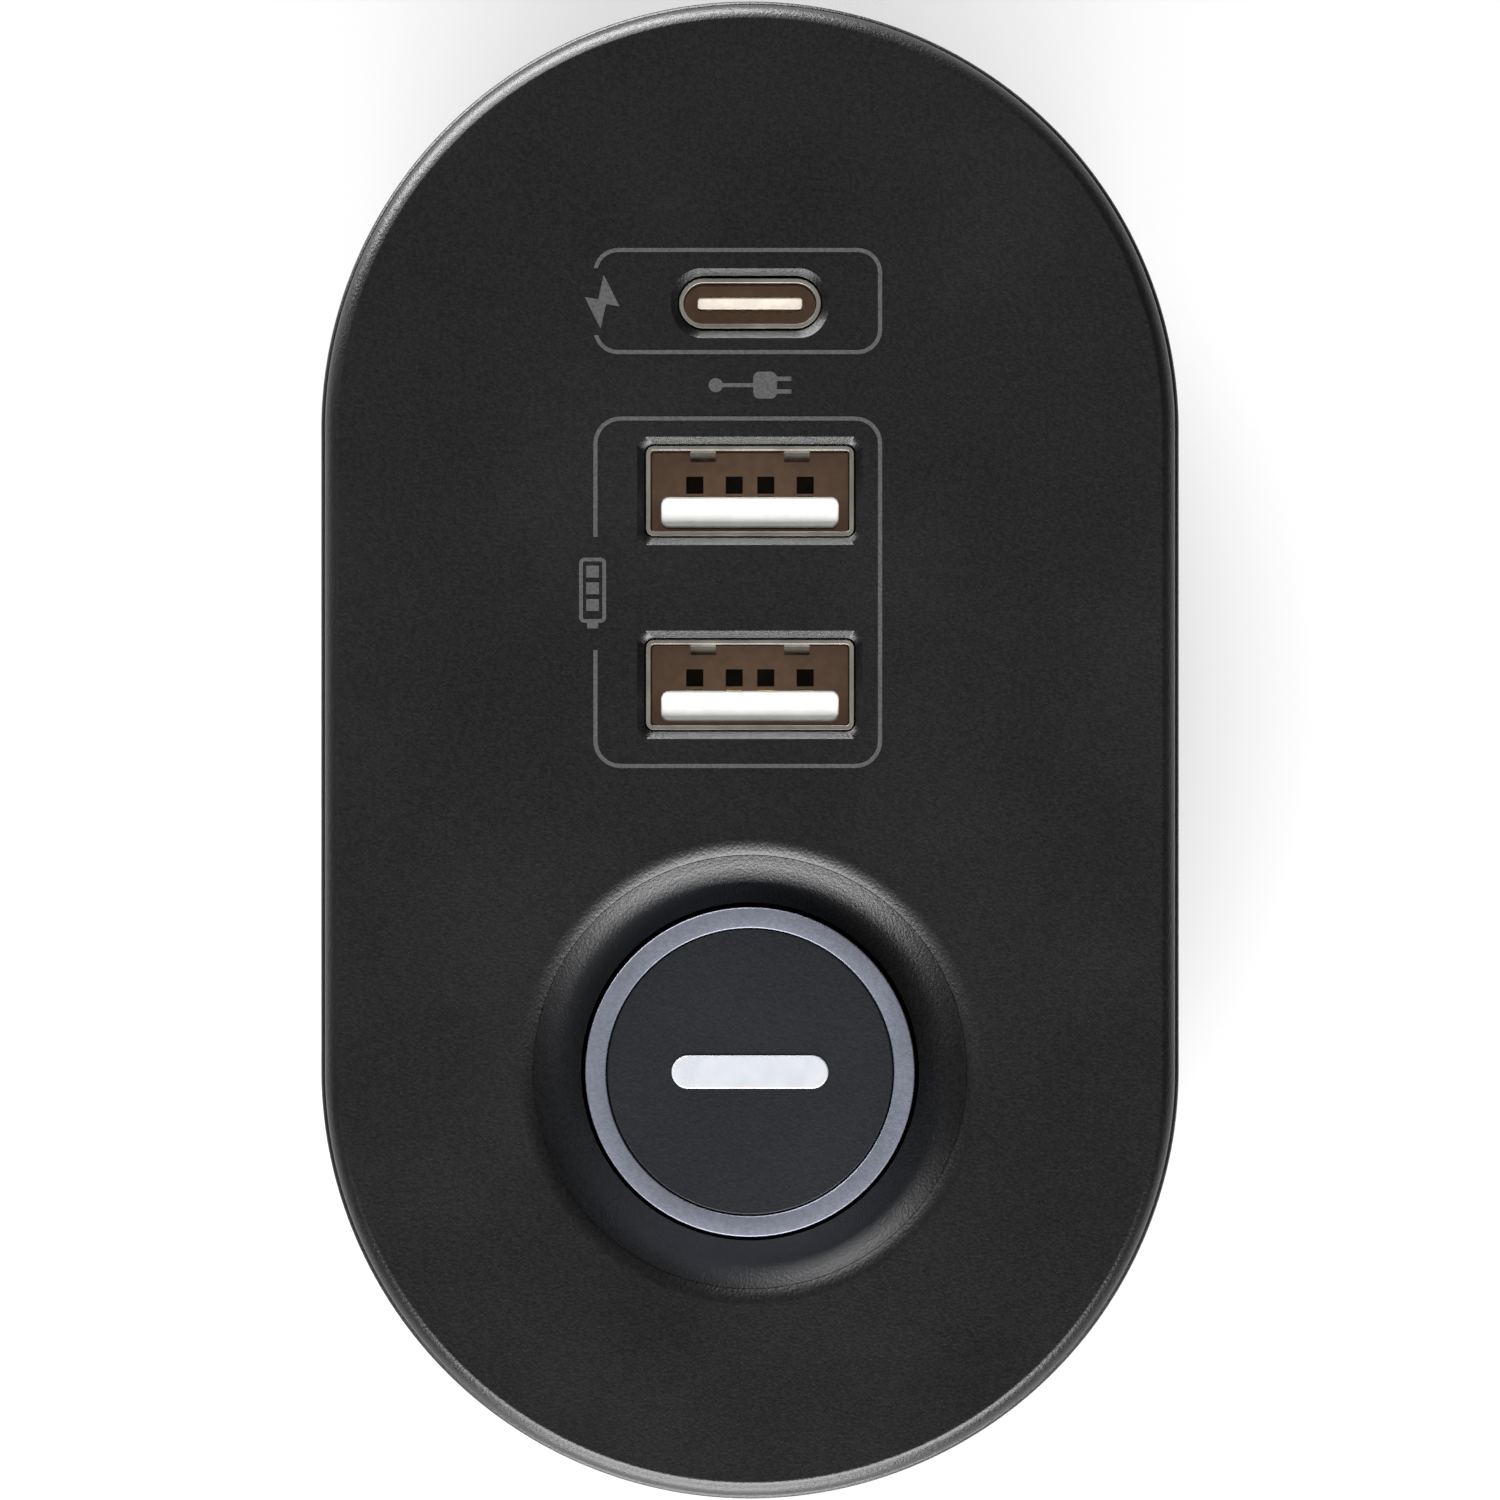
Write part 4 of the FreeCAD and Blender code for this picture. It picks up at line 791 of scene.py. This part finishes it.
def make_foot(name, x, y):
    """A rubber foot with a rounded rim and a shallow ring groove underneath."""
    top = base_low.z + FOOT_SEAT
    profile = [(2.2 * MM, 0), (3.6 * MM, 0), (3.8 * MM, 0.25 * MM), (4.4 * MM, 0.25 * MM),
               (4.6 * MM, 0), (5.4 * MM, 0)]
    profile += arc((5.4 * MM, 0.6 * MM), 0.6 * MM, -70, 0, 4)
    profile += [(FOOT_RADIUS, top - 0.1 * MM), (FOOT_RADIUS - 0.1 * MM, top)]
    return smooth(turned(name, x, y, profile, 64), 50)


fit_all(make_foot, "foot", FOOT_PLACES, "foot_rubber", "rubber_feet")

# %% Screw heads with a cross recess


def make_screw(name, x, y):
    """A pan head seen from below, with a crossed slot, and a short plain shank."""
    profile = [(0.9 * MM, HEAD_BOTTOM)]
    profile += arc((1.9 * MM, HEAD_BOTTOM + 1.0 * MM), 1.0 * MM, -88, 0, 5)
    profile += [(2.9 * MM, HEAD_BOTTOM + 2.4 * MM), (1.45 * MM, HEAD_BOTTOM + 2.4 * MM),
                (1.45 * MM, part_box("tie_screws")[1].z)]
    screw = turned(name, x, y, profile, 48)
    for length, width in ((3.2 * MM, 0.7 * MM), (0.7 * MM, 3.2 * MM)):
        carve(screw, post("cross_tool", x, y, length, width, HEAD_BOTTOM - OVER,
                          HEAD_BOTTOM + 1.1 * MM))
    return smooth(screw)


fit_all(make_screw, "tie_screw", TIE_PLACES, "spring_steel", "tie_screws")

# %% [markdown]
# ## The push button
#
# A satin ring holds a dark cap with a short milky bar let into it.  The ring and cap are turned
# shapes with tiny rounded edges, which is where a real part catches the light.

# %% Ring, cap and light bar
RING_WALL = 1.29 * MM
RING_EDGE, CAP_EDGE, BAR_EDGE = 0.09 * MM, 0.15 * MM, 0.12 * MM
BAR_LENGTH, BAR_WIDTH = bar_high.y - bar_low.y, bar_high.x - bar_low.x


def make_ring():
    outer, inner, top = RING_RADIUS, RING_RADIUS - RING_WALL, ring_high.z
    profile = [(outer, ring_low.z)]
    profile += arc((outer - RING_EDGE, top - RING_EDGE), RING_EDGE, 0, 90, 5)
    profile += arc((inner + RING_EDGE, top - RING_EDGE), RING_EDGE, 90, 180, 5)
    profile += [(inner, ring_low.z)]
    return smooth(turned("ring_skin", BUTTON.x, BUTTON.y, profile, 160, closed=True), 30)


def make_cap():
    radius, top = RING_RADIUS - RING_WALL - 0.05 * MM, cap_high.z
    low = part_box("button_cap")[0].z
    profile = [(2.6 * MM, low), (RING_RADIUS - 0.05 * MM, low + 1.5 * MM),
               (RING_RADIUS - 0.05 * MM, ring_low.z), (radius, ring_low.z)]
    profile += arc((radius - CAP_EDGE, top - CAP_EDGE), CAP_EDGE, 0, 90, 4)
    profile += [(0.5 * radius, top), (0.02 * MM, top)]
    cap = turned("cap_skin", BUTTON.x, BUTTON.y, profile, 128)
    slot_tool = pill("slot_tool", BUTTON.x, 0, BAR_LENGTH + 0.1 * MM, BAR_WIDTH + 0.1 * MM,
                     bar_low.z, top + OVER, 48, upright=True)
    return smooth(carve(cap, slot_tool), 30)


def make_bar():
    bar = pill("light_bar_skin", BUTTON.x, 0, BAR_LENGTH, BAR_WIDTH, bar_low.z, bar_high.z, 64,
               upright=True)
    bevel(bar, all_at(2, bar_high.z), BAR_EDGE)
    return smooth(bar, 30)


fit(make_ring(), "power_button", "button_satin", "button_ring")
fit(make_cap(), "power_button", "button_plastic", "button_cap")
fit(make_bar(), "power_button", "light_bar", "button_bar")

# %% [markdown]
# ## USB ports
#
# A receptacle is a folded steel shell with a rolled lip, a moulding at its back and a tongue
# that carries the contacts.  The tongue of the wide port sits off centre, towards the button,
# and two spring fingers press in from the opposite wall.

# %% Shells
SHELL_WALL, SHELL_EDGE = 0.3 * MM, 0.05 * MM
FINGER_Y, FINGER_HALF = 2.95 * MM, 0.8 * MM
FINGER_DROP, FINGER_LENGTH, FINGER_LEAN = 1.2 * MM, 7 * MM, 0.5 * MM
port_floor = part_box("usb_a_insulator_1")[0].z


def hollow_shell(outer, inner):
    """Cut a shell's inside and soften its lip."""
    carve(outer, inner)
    bevel(outer, all_at(2, PORT_TOP), SHELL_EDGE, 3)
    return outer


def wide_shell(name, port):
    half = Vector((A_WIDTH / 2, A_LENGTH / 2, 0))
    inset = Vector((SHELL_WALL, SHELL_WALL, 0))
    low, high = Vector((port.x, 0, port_floor)), Vector((port.x, 0, PORT_TOP))
    outer = block(name, low - half, high + half, A_CORNER)
    over = Vector((0, 0, OVER))
    inner = block("inside_tool", low - half + inset - over, high + half - inset + over,
                  A_CORNER - SHELL_WALL)
    return hollow_shell(outer, inner)


def spring_finger(port, y):
    """A bent strip that leans from the shell wall into the port."""
    wall = port.x - A_WIDTH / 2 + SHELL_WALL
    top = PORT_TOP - FINGER_DROP
    strip = block("finger", (wall - 0.1 * MM, y - FINGER_HALF, top - FINGER_LENGTH),
                  (wall + 0.15 * MM, y + FINGER_HALF, top))
    edit(strip)
    bpy.ops.mesh.select_all(action="SELECT")
    bpy.ops.mesh.subdivide(number_cuts=6)
    for level in range(1, 8):
        height = top - FINGER_LENGTH * level / 7
        lean = FINGER_LEAN * math.sin(math.pi * level / 7 * 0.75)
        pick(strip, "verts", lambda v: abs(v.co.z - height) < 1e-5)
        bpy.ops.transform.translate(value=(lean, 0, 0))
    leave()
    return strip


def narrow_shell():
    outer = pill("usb_c_shell_skin", PORT_C.x, 0, C_LENGTH, C_WIDTH, port_floor, PORT_TOP, 96,
                 upright=True)
    inner = pill("inside_tool", PORT_C.x, 0, C_LENGTH - 2 * SHELL_WALL, C_WIDTH - 2 * SHELL_WALL,
                 port_floor - OVER, PORT_TOP + OVER, 80, upright=True)
    return smooth(hollow_shell(outer, inner))


for number, port in enumerate(PORTS_A, 1):
    shell = wide_shell(f"usb_a_shell_skin_{number}", port)
    gather(shell, spring_finger(port, -FINGER_Y), spring_finger(port, FINGER_Y))
    fit(smooth(shell), "housing", "plated_shell", f"usb_a_shell_{number}")
fit(narrow_shell(), "housing", "plated_shell", "usb_c_shell")

# %% Tongues, port floors and contacts
A_TONGUE_LENGTH, A_TONGUE, A_TONGUE_SHIFT = 11.2 * MM, 1.95 * MM, 1.35 * MM
A_TONGUE_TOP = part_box("usb_a_insulator_1")[1].z
A_SEAT = port_floor + 6.5 * MM
A_CONTACTS = [-3.5 * MM, -1.0 * MM, 1.0 * MM, 3.5 * MM]
ROOT = 0.5 * MM
WINDOW_HALF, WINDOW_STAND = 0.55 * MM, 0.85 * MM
WINDOW_RISE, WINDOW_DROP = 1 * MM, 0.3 * MM
STRIP_HALF, STRIP_GAUGE, STRIP_DROP = 0.5 * MM, 0.12 * MM, 5 * MM


def wide_tongue(name, port):
    x = port.x + A_TONGUE_SHIFT
    tongue = post(name, x, 0, A_TONGUE, A_TONGUE_LENGTH, A_SEAT - ROOT, A_TONGUE_TOP, 0.5 * MM)
    bevel(tongue, all_at(2, A_TONGUE_TOP), 0.18 * MM)
    return smooth(tongue)


def port_back(name, port):
    """The moulding at the bottom of the port, with a pocket in front of each contact."""
    half_x, half_y = A_WIDTH / 2 - SHELL_WALL - 0.05 * MM, A_LENGTH / 2 - SHELL_WALL - 0.05 * MM
    back = post(name, port.x, 0, 2 * half_x, 2 * half_y, port_floor, A_SEAT,
                A_CORNER - SHELL_WALL)
    for y in A_CONTACTS:
        carve(back, pocket("pocket_tool", port, y, WINDOW_HALF, WINDOW_RISE))
    return smooth(back)


def pocket(name, port, y, half, rise):
    """A square block beside the tongue, from inside the moulding up past its face."""
    x = port.x + A_TONGUE_SHIFT - A_TONGUE / 2 - WINDOW_STAND
    return post(name, x, y, 2 * half, 2 * half, A_SEAT - 3 * MM, A_SEAT + rise)


def painted_shade_plugs(name, port):
    """Painted shade for the unlit depth of the four pockets: small near-black matte plugs just
    under their mouths.
    """
    half = WINDOW_HALF - 0.01 * MM
    plugs = [pocket(name, port, y, half, -WINDOW_DROP) for y in A_CONTACTS]
    for plug in plugs:
        bevel(plug, all_at(2, A_SEAT - WINDOW_DROP), 0.1 * MM, 2)
    return smooth(gather(*plugs))


def contact_strips(name, port):
    """Four flat springs along the tongue, each with a rounded tip."""
    x = port.x + A_TONGUE_SHIFT - A_TONGUE / 2
    face, tip = x - STRIP_GAUGE, A_TONGUE_TOP - STRIP_DROP
    strips = []
    for y in A_CONTACTS:
        strip = block("strip", (face, y - STRIP_HALF, A_SEAT), (x, y + STRIP_HALF, tip))
        bevel(strip, lambda e: all_at(2, tip)(e) and all_at(0, face)(e), 0.09 * MM, 3)
        strips.append(strip)
    strips[0].name = name
    return smooth(gather(*strips))


for number, port in enumerate(PORTS_A, 1):
    tongue = wide_tongue(f"usb_a_tongue_{number}", port)
    fit(tongue, "housing", "white_insulator", f"usb_a_insulator_{number}")
    back = port_back(f"usb_a_back_{number}", port)
    fit(back, "housing", "white_insulator", material=brown_with_painted_glow)
    shade_plugs = painted_shade_plugs(f"usb_a_shade_plugs_{number}", port)
    fit(shade_plugs, "housing", "white_insulator", material=painted_pocket_shade)
    strips = contact_strips(f"usb_a_strips_{number}", port)
    fit(strips, "housing", "gold_contact", f"usb_a_contacts_{number}")

# %% The narrow port's tongue
C_TONGUE_LENGTH, C_TONGUE = 6.6 * MM, 0.75 * MM
C_TONGUE_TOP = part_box("usb_c_tongue")[1].z


def narrow_tongue():
    tongue = post("usb_c_tongue_skin", PORT_C.x, 0, C_TONGUE, C_TONGUE_LENGTH, A_SEAT - ROOT,
                  C_TONGUE_TOP, 0.2 * MM)
    bevel(tongue, all_at(2, C_TONGUE_TOP), 0.12 * MM, 3)
    return smooth(tongue)


def narrow_back():
    inset = 2 * (SHELL_WALL + 0.05 * MM)
    return smooth(pill("usb_c_back", PORT_C.x, 0, C_LENGTH - inset, C_WIDTH - inset, port_floor,
                       PORT_TOP - 5.5 * MM, 64, upright=True))


fit(narrow_tongue(), "housing", "white_insulator", "usb_c_tongue", material=warm_white)
fit(narrow_back(), "housing", "white_insulator", material=brown_with_painted_glow)

# %% [markdown]
# ## Printed frames and marks
#
# Two thin lines frame the ports.  The ink is a few hundredths of a millimetre thick, so it is
# made as a very thin raised ring.  A plain lightning flash marks the fast port, a battery marks
# the charging pair, and a small plug stands between the frames.

# %% Frame lines
# The ink starts a little under the face, so that no gap shows below it.
INK, INK_ROOT = 0.03 * MM, 0.02 * MM
LINE = 0.26 * MM


def ink_block(low_x, low_y, high_x, high_y, corner=0.0):
    return block("ink", (low_x, low_y, FACE - INK_ROOT), (high_x, high_y, FACE + INK), corner,
                 segments=8)


def ink_tool(low, high, corner=0.0, segments=8):
    return block("ink_tool", (*low, FACE - OVER), (*high, FACE + OVER), corner, segments=segments)


def printed_frame(name, low, high, corner, gap):
    """A rounded line with a gap on its -Y side for a mark."""
    line = ink_block(*low, *high, corner)
    line.name = name
    inside = ink_tool((low[0] + LINE, low[1] + LINE), (high[0] - LINE, high[1] - LINE),
                      corner - LINE)
    return carve(line, inside, ink_tool((gap[0], low[1] - OVER), (gap[1], low[1] + OVER)))


frames = {
    "frame_line_c": ((-31.58 * MM, -9.85 * MM), (-24.90 * MM, 8.31 * MM), 1.55 * MM,
                     (-30.3 * MM, -26.1 * MM)),
    "frame_line_a": ((-20.98 * MM, -9.85 * MM), (1.13 * MM, 8.31 * MM), 1.7 * MM,
                     (-13.4 * MM, -6.3 * MM)),
}
for name, (low, high, corner, gap) in frames.items():
    line = printed_frame(name, low, high, corner, gap)
    fit(line, "housing", "housing_plastic", material=grey_print)

# %% Flash, battery and plug marks


def flash_mark():
    """A six-pointed disc whose corners are drawn out into a lightning flash, then extruded."""
    x, y = -28.2 * MM, -9.3 * MM
    corners = [(-1.7, 0.1), (0.3, 1.1), (0.15, 0.25), (1.7, -0.1), (-0.3, -1.1), (-0.15, -0.25)]
    clear()
    bpy.ops.mesh.primitive_circle_add(vertices=6, radius=1 * MM, fill_type="NGON",
                                      location=(x, y, FACE - INK_ROOT))
    flash = new_piece("flash_mark")
    edit(flash)
    starts = [vert.co.copy() for vert in bmesh.from_edit_mesh(flash.data).verts]
    for number, (along, across) in enumerate(corners):
        pick(flash, "verts", lambda v: v.index == number)
        shift = Vector((x + along * MM, y + across * MM, starts[number].z)) - starts[number]
        bpy.ops.transform.translate(value=shift)
    bpy.ops.mesh.select_all(action="SELECT")
    extrude(0, 0, INK + INK_ROOT)
    leave()
    return flash


def battery_mark():
    low, high = Vector((-12.1 * MM, -10.75 * MM)), Vector((-8.0 * MM, -9.05 * MM))
    line = 0.24 * MM
    shell = ink_block(*low, *high, 0.35 * MM)
    shell.name = "battery_mark"
    carve(shell, ink_tool((low.x + line, low.y + line), (high.x - line, high.y - line),
                          line / 2, 6))
    nub = ink_block(high.x, -10.25 * MM, high.x + 0.35 * MM, -9.55 * MM)
    cells = [ink_block(low.x + (0.5 + 1.05 * i) * MM, low.y + 0.45 * MM,
                       low.x + (1.25 + 1.05 * i) * MM, high.y - 0.45 * MM) for i in range(3)]
    return gather(weld(shell, nub), *cells)


def plug_mark():
    """A plug with two prongs and a short lead that ends in a dot."""
    x = -22.95 * MM
    body = ink_block(x - 0.85 * MM, 0.2 * MM, x + 0.85 * MM, 1.7 * MM, 0.4 * MM)
    body.name = "plug_mark"
    prongs = [ink_block(x + a * MM - 0.14 * MM, 1.7 * MM, x + a * MM + 0.14 * MM, 2.6 * MM)
              for a in (-0.4, 0.4)]
    flex = ink_block(x - 0.13 * MM, -2.0 * MM, x + 0.13 * MM, 0.2 * MM)
    radius = 0.45 * MM
    dot = turned("dot", x, -2.15 * MM, [(radius, FACE - INK_ROOT), (radius, FACE + INK)], 32)
    return weld(body, *prongs, flex, dot)


for mark in (flash_mark(), battery_mark(), plug_mark()):
    fit(mark, "housing", "housing_plastic", material=grey_print)

# %% [markdown]
# ## Mains outlets
#
# Each outlet is an insert set half a millimetre behind the flat.  One is modelled in full, with
# a soft edge, a shallow recessed field and flared slots, and the others are copies: turned half
# round for the rear.

# %% One insert
INSERT = (33.7 * MM, 27.7 * MM, 2.85 * MM)
INSERT_FACE, INSERT_DEPTH = FLAT - 0.5 * MM, 3.5 * MM
INSERT_ROUND = 0.4 * MM
FLARE = 0.35 * MM
BLADE_X, BLADE_RISE = 6.35 * MM, 3.6 * MM
GROUND_DROP, GROUND_RADIUS = 11.9 * MM, 2.75 * MM


def slot_tool(x, z, width, height):
    """A blade slot with a flared mouth, cut from the front."""
    tool = panel("blade_tool", Vector((x, 0, z)), width, height, -INSERT_FACE + FLARE,
                 -INSERT_FACE + 8 * MM)
    edit(tool)
    pick(tool, "faces", all_at(1, -INSERT_FACE + FLARE))
    for _ in range(2):
        extrude(0, -FLARE, 0)
        wider, taller = width + 2 * FLARE, height + 2 * FLARE
        bpy.ops.transform.resize(value=(wider / width, 1, taller / height),
                                 center_override=(x, 0, z))
        width, height = wider, taller
    leave()
    return tool


def make_insert(name, height):
    """The first outlet, on the front flat, at a height."""
    width, tall, corner = INSERT
    back = -INSERT_FACE + INSERT_DEPTH
    insert = panel(name, Vector((0, 0, height)), width, tall, -INSERT_FACE, back, corner, 8)
    bevel(insert, all_at(1, -INSERT_FACE), INSERT_ROUND)
    edit(insert)
    pick(insert, "faces", lambda f: all_at(1, -INSERT_FACE)(f) and f.calc_area() > 1e-5)
    bpy.ops.mesh.inset(thickness=1.6 * MM)
    bpy.ops.mesh.inset(thickness=0.25 * MM, depth=-0.25 * MM)
    leave()
    rise = height + BLADE_RISE
    tools = [slot_tool(-BLADE_X, rise, 2.1 * MM, 7.4 * MM),
             slot_tool(BLADE_X, rise, 2.1 * MM, 8.8 * MM),
             round_tool(Vector((0, 0, rise - GROUND_DROP)), GROUND_RADIUS, -INSERT_FACE - OVER,
                        back + OVER)]
    return smooth(carve(insert, *tools), 35)


first_insert = make_insert("outlet_skin_1", outlets[0].z)
inserts = [first_insert]
for number, centre in enumerate(outlets[1:], 2):
    turn = math.pi if centre.y > 0 else 0.0
    shift = (0, 0, centre.z - outlets[0].z)
    inserts.append(copy_of(first_insert, f"outlet_skin_{number}", shift, turn))
for number, insert in enumerate(inserts, 1):
    fit(insert, "housing", "socket_plastic", f"outlet_face_{number}")

# %% [markdown]
# ## Mains inlet and reset button
#
# The inlet is a deep rounded pocket with three blades.  Beside it a round bezel holds the reset
# button of the overload breaker, set just below the flat so that it isn't pressed by accident.

# %% Inlet
CAVITY, CAVITY_DEPTH = (17.0 * MM, 24.2 * MM), 15 * MM
INLET_BACK = 16.6 * MM
BLADE_WIDTH, BLADE_GAUGE = 4 * MM, 2 * MM
INLET_FACE = FLAT - 0.4 * MM


def make_inlet():
    width, tall, corner = (size - 0.3 * MM for size in INLET_OPENING)
    body = panel("inlet_skin", inlet, width, tall, INLET_FACE - INLET_BACK, INLET_FACE, corner, 8)
    bevel(body, all_at(1, INLET_FACE), INSERT_ROUND)
    carve(body, panel("cavity_tool", inlet, *CAVITY, INLET_FACE - CAVITY_DEPTH,
                      INLET_FACE + OVER, 1.5 * MM))
    bevel(body, on_cavity, 0.3 * MM, 3)
    return smooth(body, 35)


def on_cavity(edge, near=1e-6):
    """A test for the edges round the mouth of the pocket."""
    return all_at(1, INLET_FACE)(edge) and all(
        abs(v.co.x - inlet.x) < CAVITY[0] / 2 + near and
        abs(v.co.z - inlet.z) < CAVITY[1] / 2 + near for v in edge.verts)


def make_blades():
    """Three blades with chamfered tips."""
    low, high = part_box("inlet_pins")
    blades = []
    for across, up in ((-2, 7), (-2, -7), (2, 0)):
        centre = inlet + Vector((across * MM, 0, up * MM))
        blade = panel("blade", centre, BLADE_WIDTH, BLADE_GAUGE, low.y, high.y)
        bevel(blade, all_at(1, high.y), 0.5 * MM, 3)
        blades.append(blade)
    blades[0].name = "inlet_blades"
    return smooth(gather(*blades), 35)


fit(make_inlet(), "housing", "socket_plastic", "inlet_body")
fit(make_blades(), "housing", "contact_brass", "inlet_pins")

# %% Breaker bezel and reset button
BEZEL_INSIDE, BEZEL_CHAMFER, RESET_BORE = 4.6 * MM, 0.4 * MM, 4.1 * MM
BREAKER_FACE = FLAT - 2.45 * MM


def turned_along_y(name, centre, profile):
    """A turned shape whose axis points out of the rear flat; profile is (radius, y)."""
    piece = turned(name, 0, 0, profile, 64)
    piece.rotation_euler = (-math.pi / 2, 0, 0)
    piece.location = (centre.x, 0, centre.z)
    return settle(piece)


def make_breaker():
    low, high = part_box("breaker_body")
    shell = block("breaker_skin", low, (high.x, BREAKER_FACE, high.z), 0.6 * MM, axis=1)
    root = FLAT - 3 * MM
    weld(shell, turned_along_y("bezel", reset, [
        (BEZEL_RADIUS, root), (BEZEL_RADIUS, high.y - BEZEL_CHAMFER),
        (BEZEL_RADIUS - BEZEL_CHAMFER, high.y), (BEZEL_INSIDE, high.y), (BEZEL_INSIDE, root)]))
    bore = round_tool(reset, RESET_BORE, FLAT - 12 * MM, FLAT + OVER)
    return smooth(carve(shell, bore), 35)


def make_reset():
    low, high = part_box("reset_button")
    radius = (high.x - low.x) / 2
    profile = [(radius, low.y)] + arc((radius - 0.5 * MM, high.y - 0.5 * MM), 0.5 * MM, 0, 88, 5)
    profile += [(radius * 0.62, high.y), (radius * 0.5, high.y - 0.3 * MM),
                (0.2 * MM, high.y - 0.4 * MM)]
    return smooth(turned_along_y("reset_skin", reset, profile), 30)


fit(make_breaker(), "housing", "housing_plastic", "breaker_body")
fit(make_reset(), "reset_button", "reset_plastic", "reset_button")

# %% [markdown]
# ## Springs
#
# A coil spring is a small ring of wire section swept up a screw path.  Each coil is wound from
# one end of its designed spring, stands in that spring's place and hangs on the housing.

# %% Coils in the places of the designed springs


def make_coil(name, width, wire, length, turns, place, turn=(0, 0, 0)):
    """A coil wound upwards from height zero, then turned and put in its place."""
    radius = (width - wire) / 2
    clear()
    bpy.ops.mesh.primitive_circle_add(vertices=10, radius=wire / 2, location=(radius, 0, wire / 2),
                                      rotation=(math.pi / 2, 0, 0))
    coil = new_piece(name)
    sweep = coil.modifiers.new("winding", "SCREW")
    sweep.screw_offset = (length - wire) / turns
    sweep.iterations = turns
    sweep.steps = sweep.render_steps = 20
    only(coil)
    bpy.ops.object.modifier_apply(modifier="winding")
    edit(coil)
    close_ends()
    leave()
    coil.rotation_euler = turn
    coil.location = place
    return smooth(settle(coil))


def squeeze(coil, node):
    fit(coil, "housing", "spring_steel", node)
    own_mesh(coil)


BUTTON_WIRE, SHUTTER_WIRE = 0.5 * MM, 0.3 * MM
low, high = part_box("button_spring")
length, foot = high.z - low.z, (BUTTON.x, 0, low.z)
coil = make_coil("button_coil", high.x - low.x, BUTTON_WIRE, length, 5, foot)
squeeze(coil, "button_spring")
for number in range(1, 6):
    node = f"shutter_spring_{number}"
    low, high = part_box(node)
    length, centre = high.x - low.x, (low + high) / 2
    coil = make_coil(f"shutter_coil_{number}", high.z - low.z, SHUTTER_WIRE, length, 6,
                     (low.x, centre.y, centre.z), (0, math.pi / 2, 0))
    squeeze(coil, node)

# %% [markdown]
# ## The parts that stay as designed
#
# The rest keeps the designed shape and only takes a finish: shutters behind the blade slots,
# contacts, bus bars, boards, the switch and the base weight.

# %% Finish the carried-over nodes


def finish_nodes():
    slots = {row["node"]: row["material_slot"] for row in frame["record"]["subparts"]}
    for node, thing in frame["nodes"].items():
        for entry in thing.material_slots:
            entry.material = FINISHES[slots[node]]
    print(len(frame["nodes"]), "nodes finished")


finish_nodes()
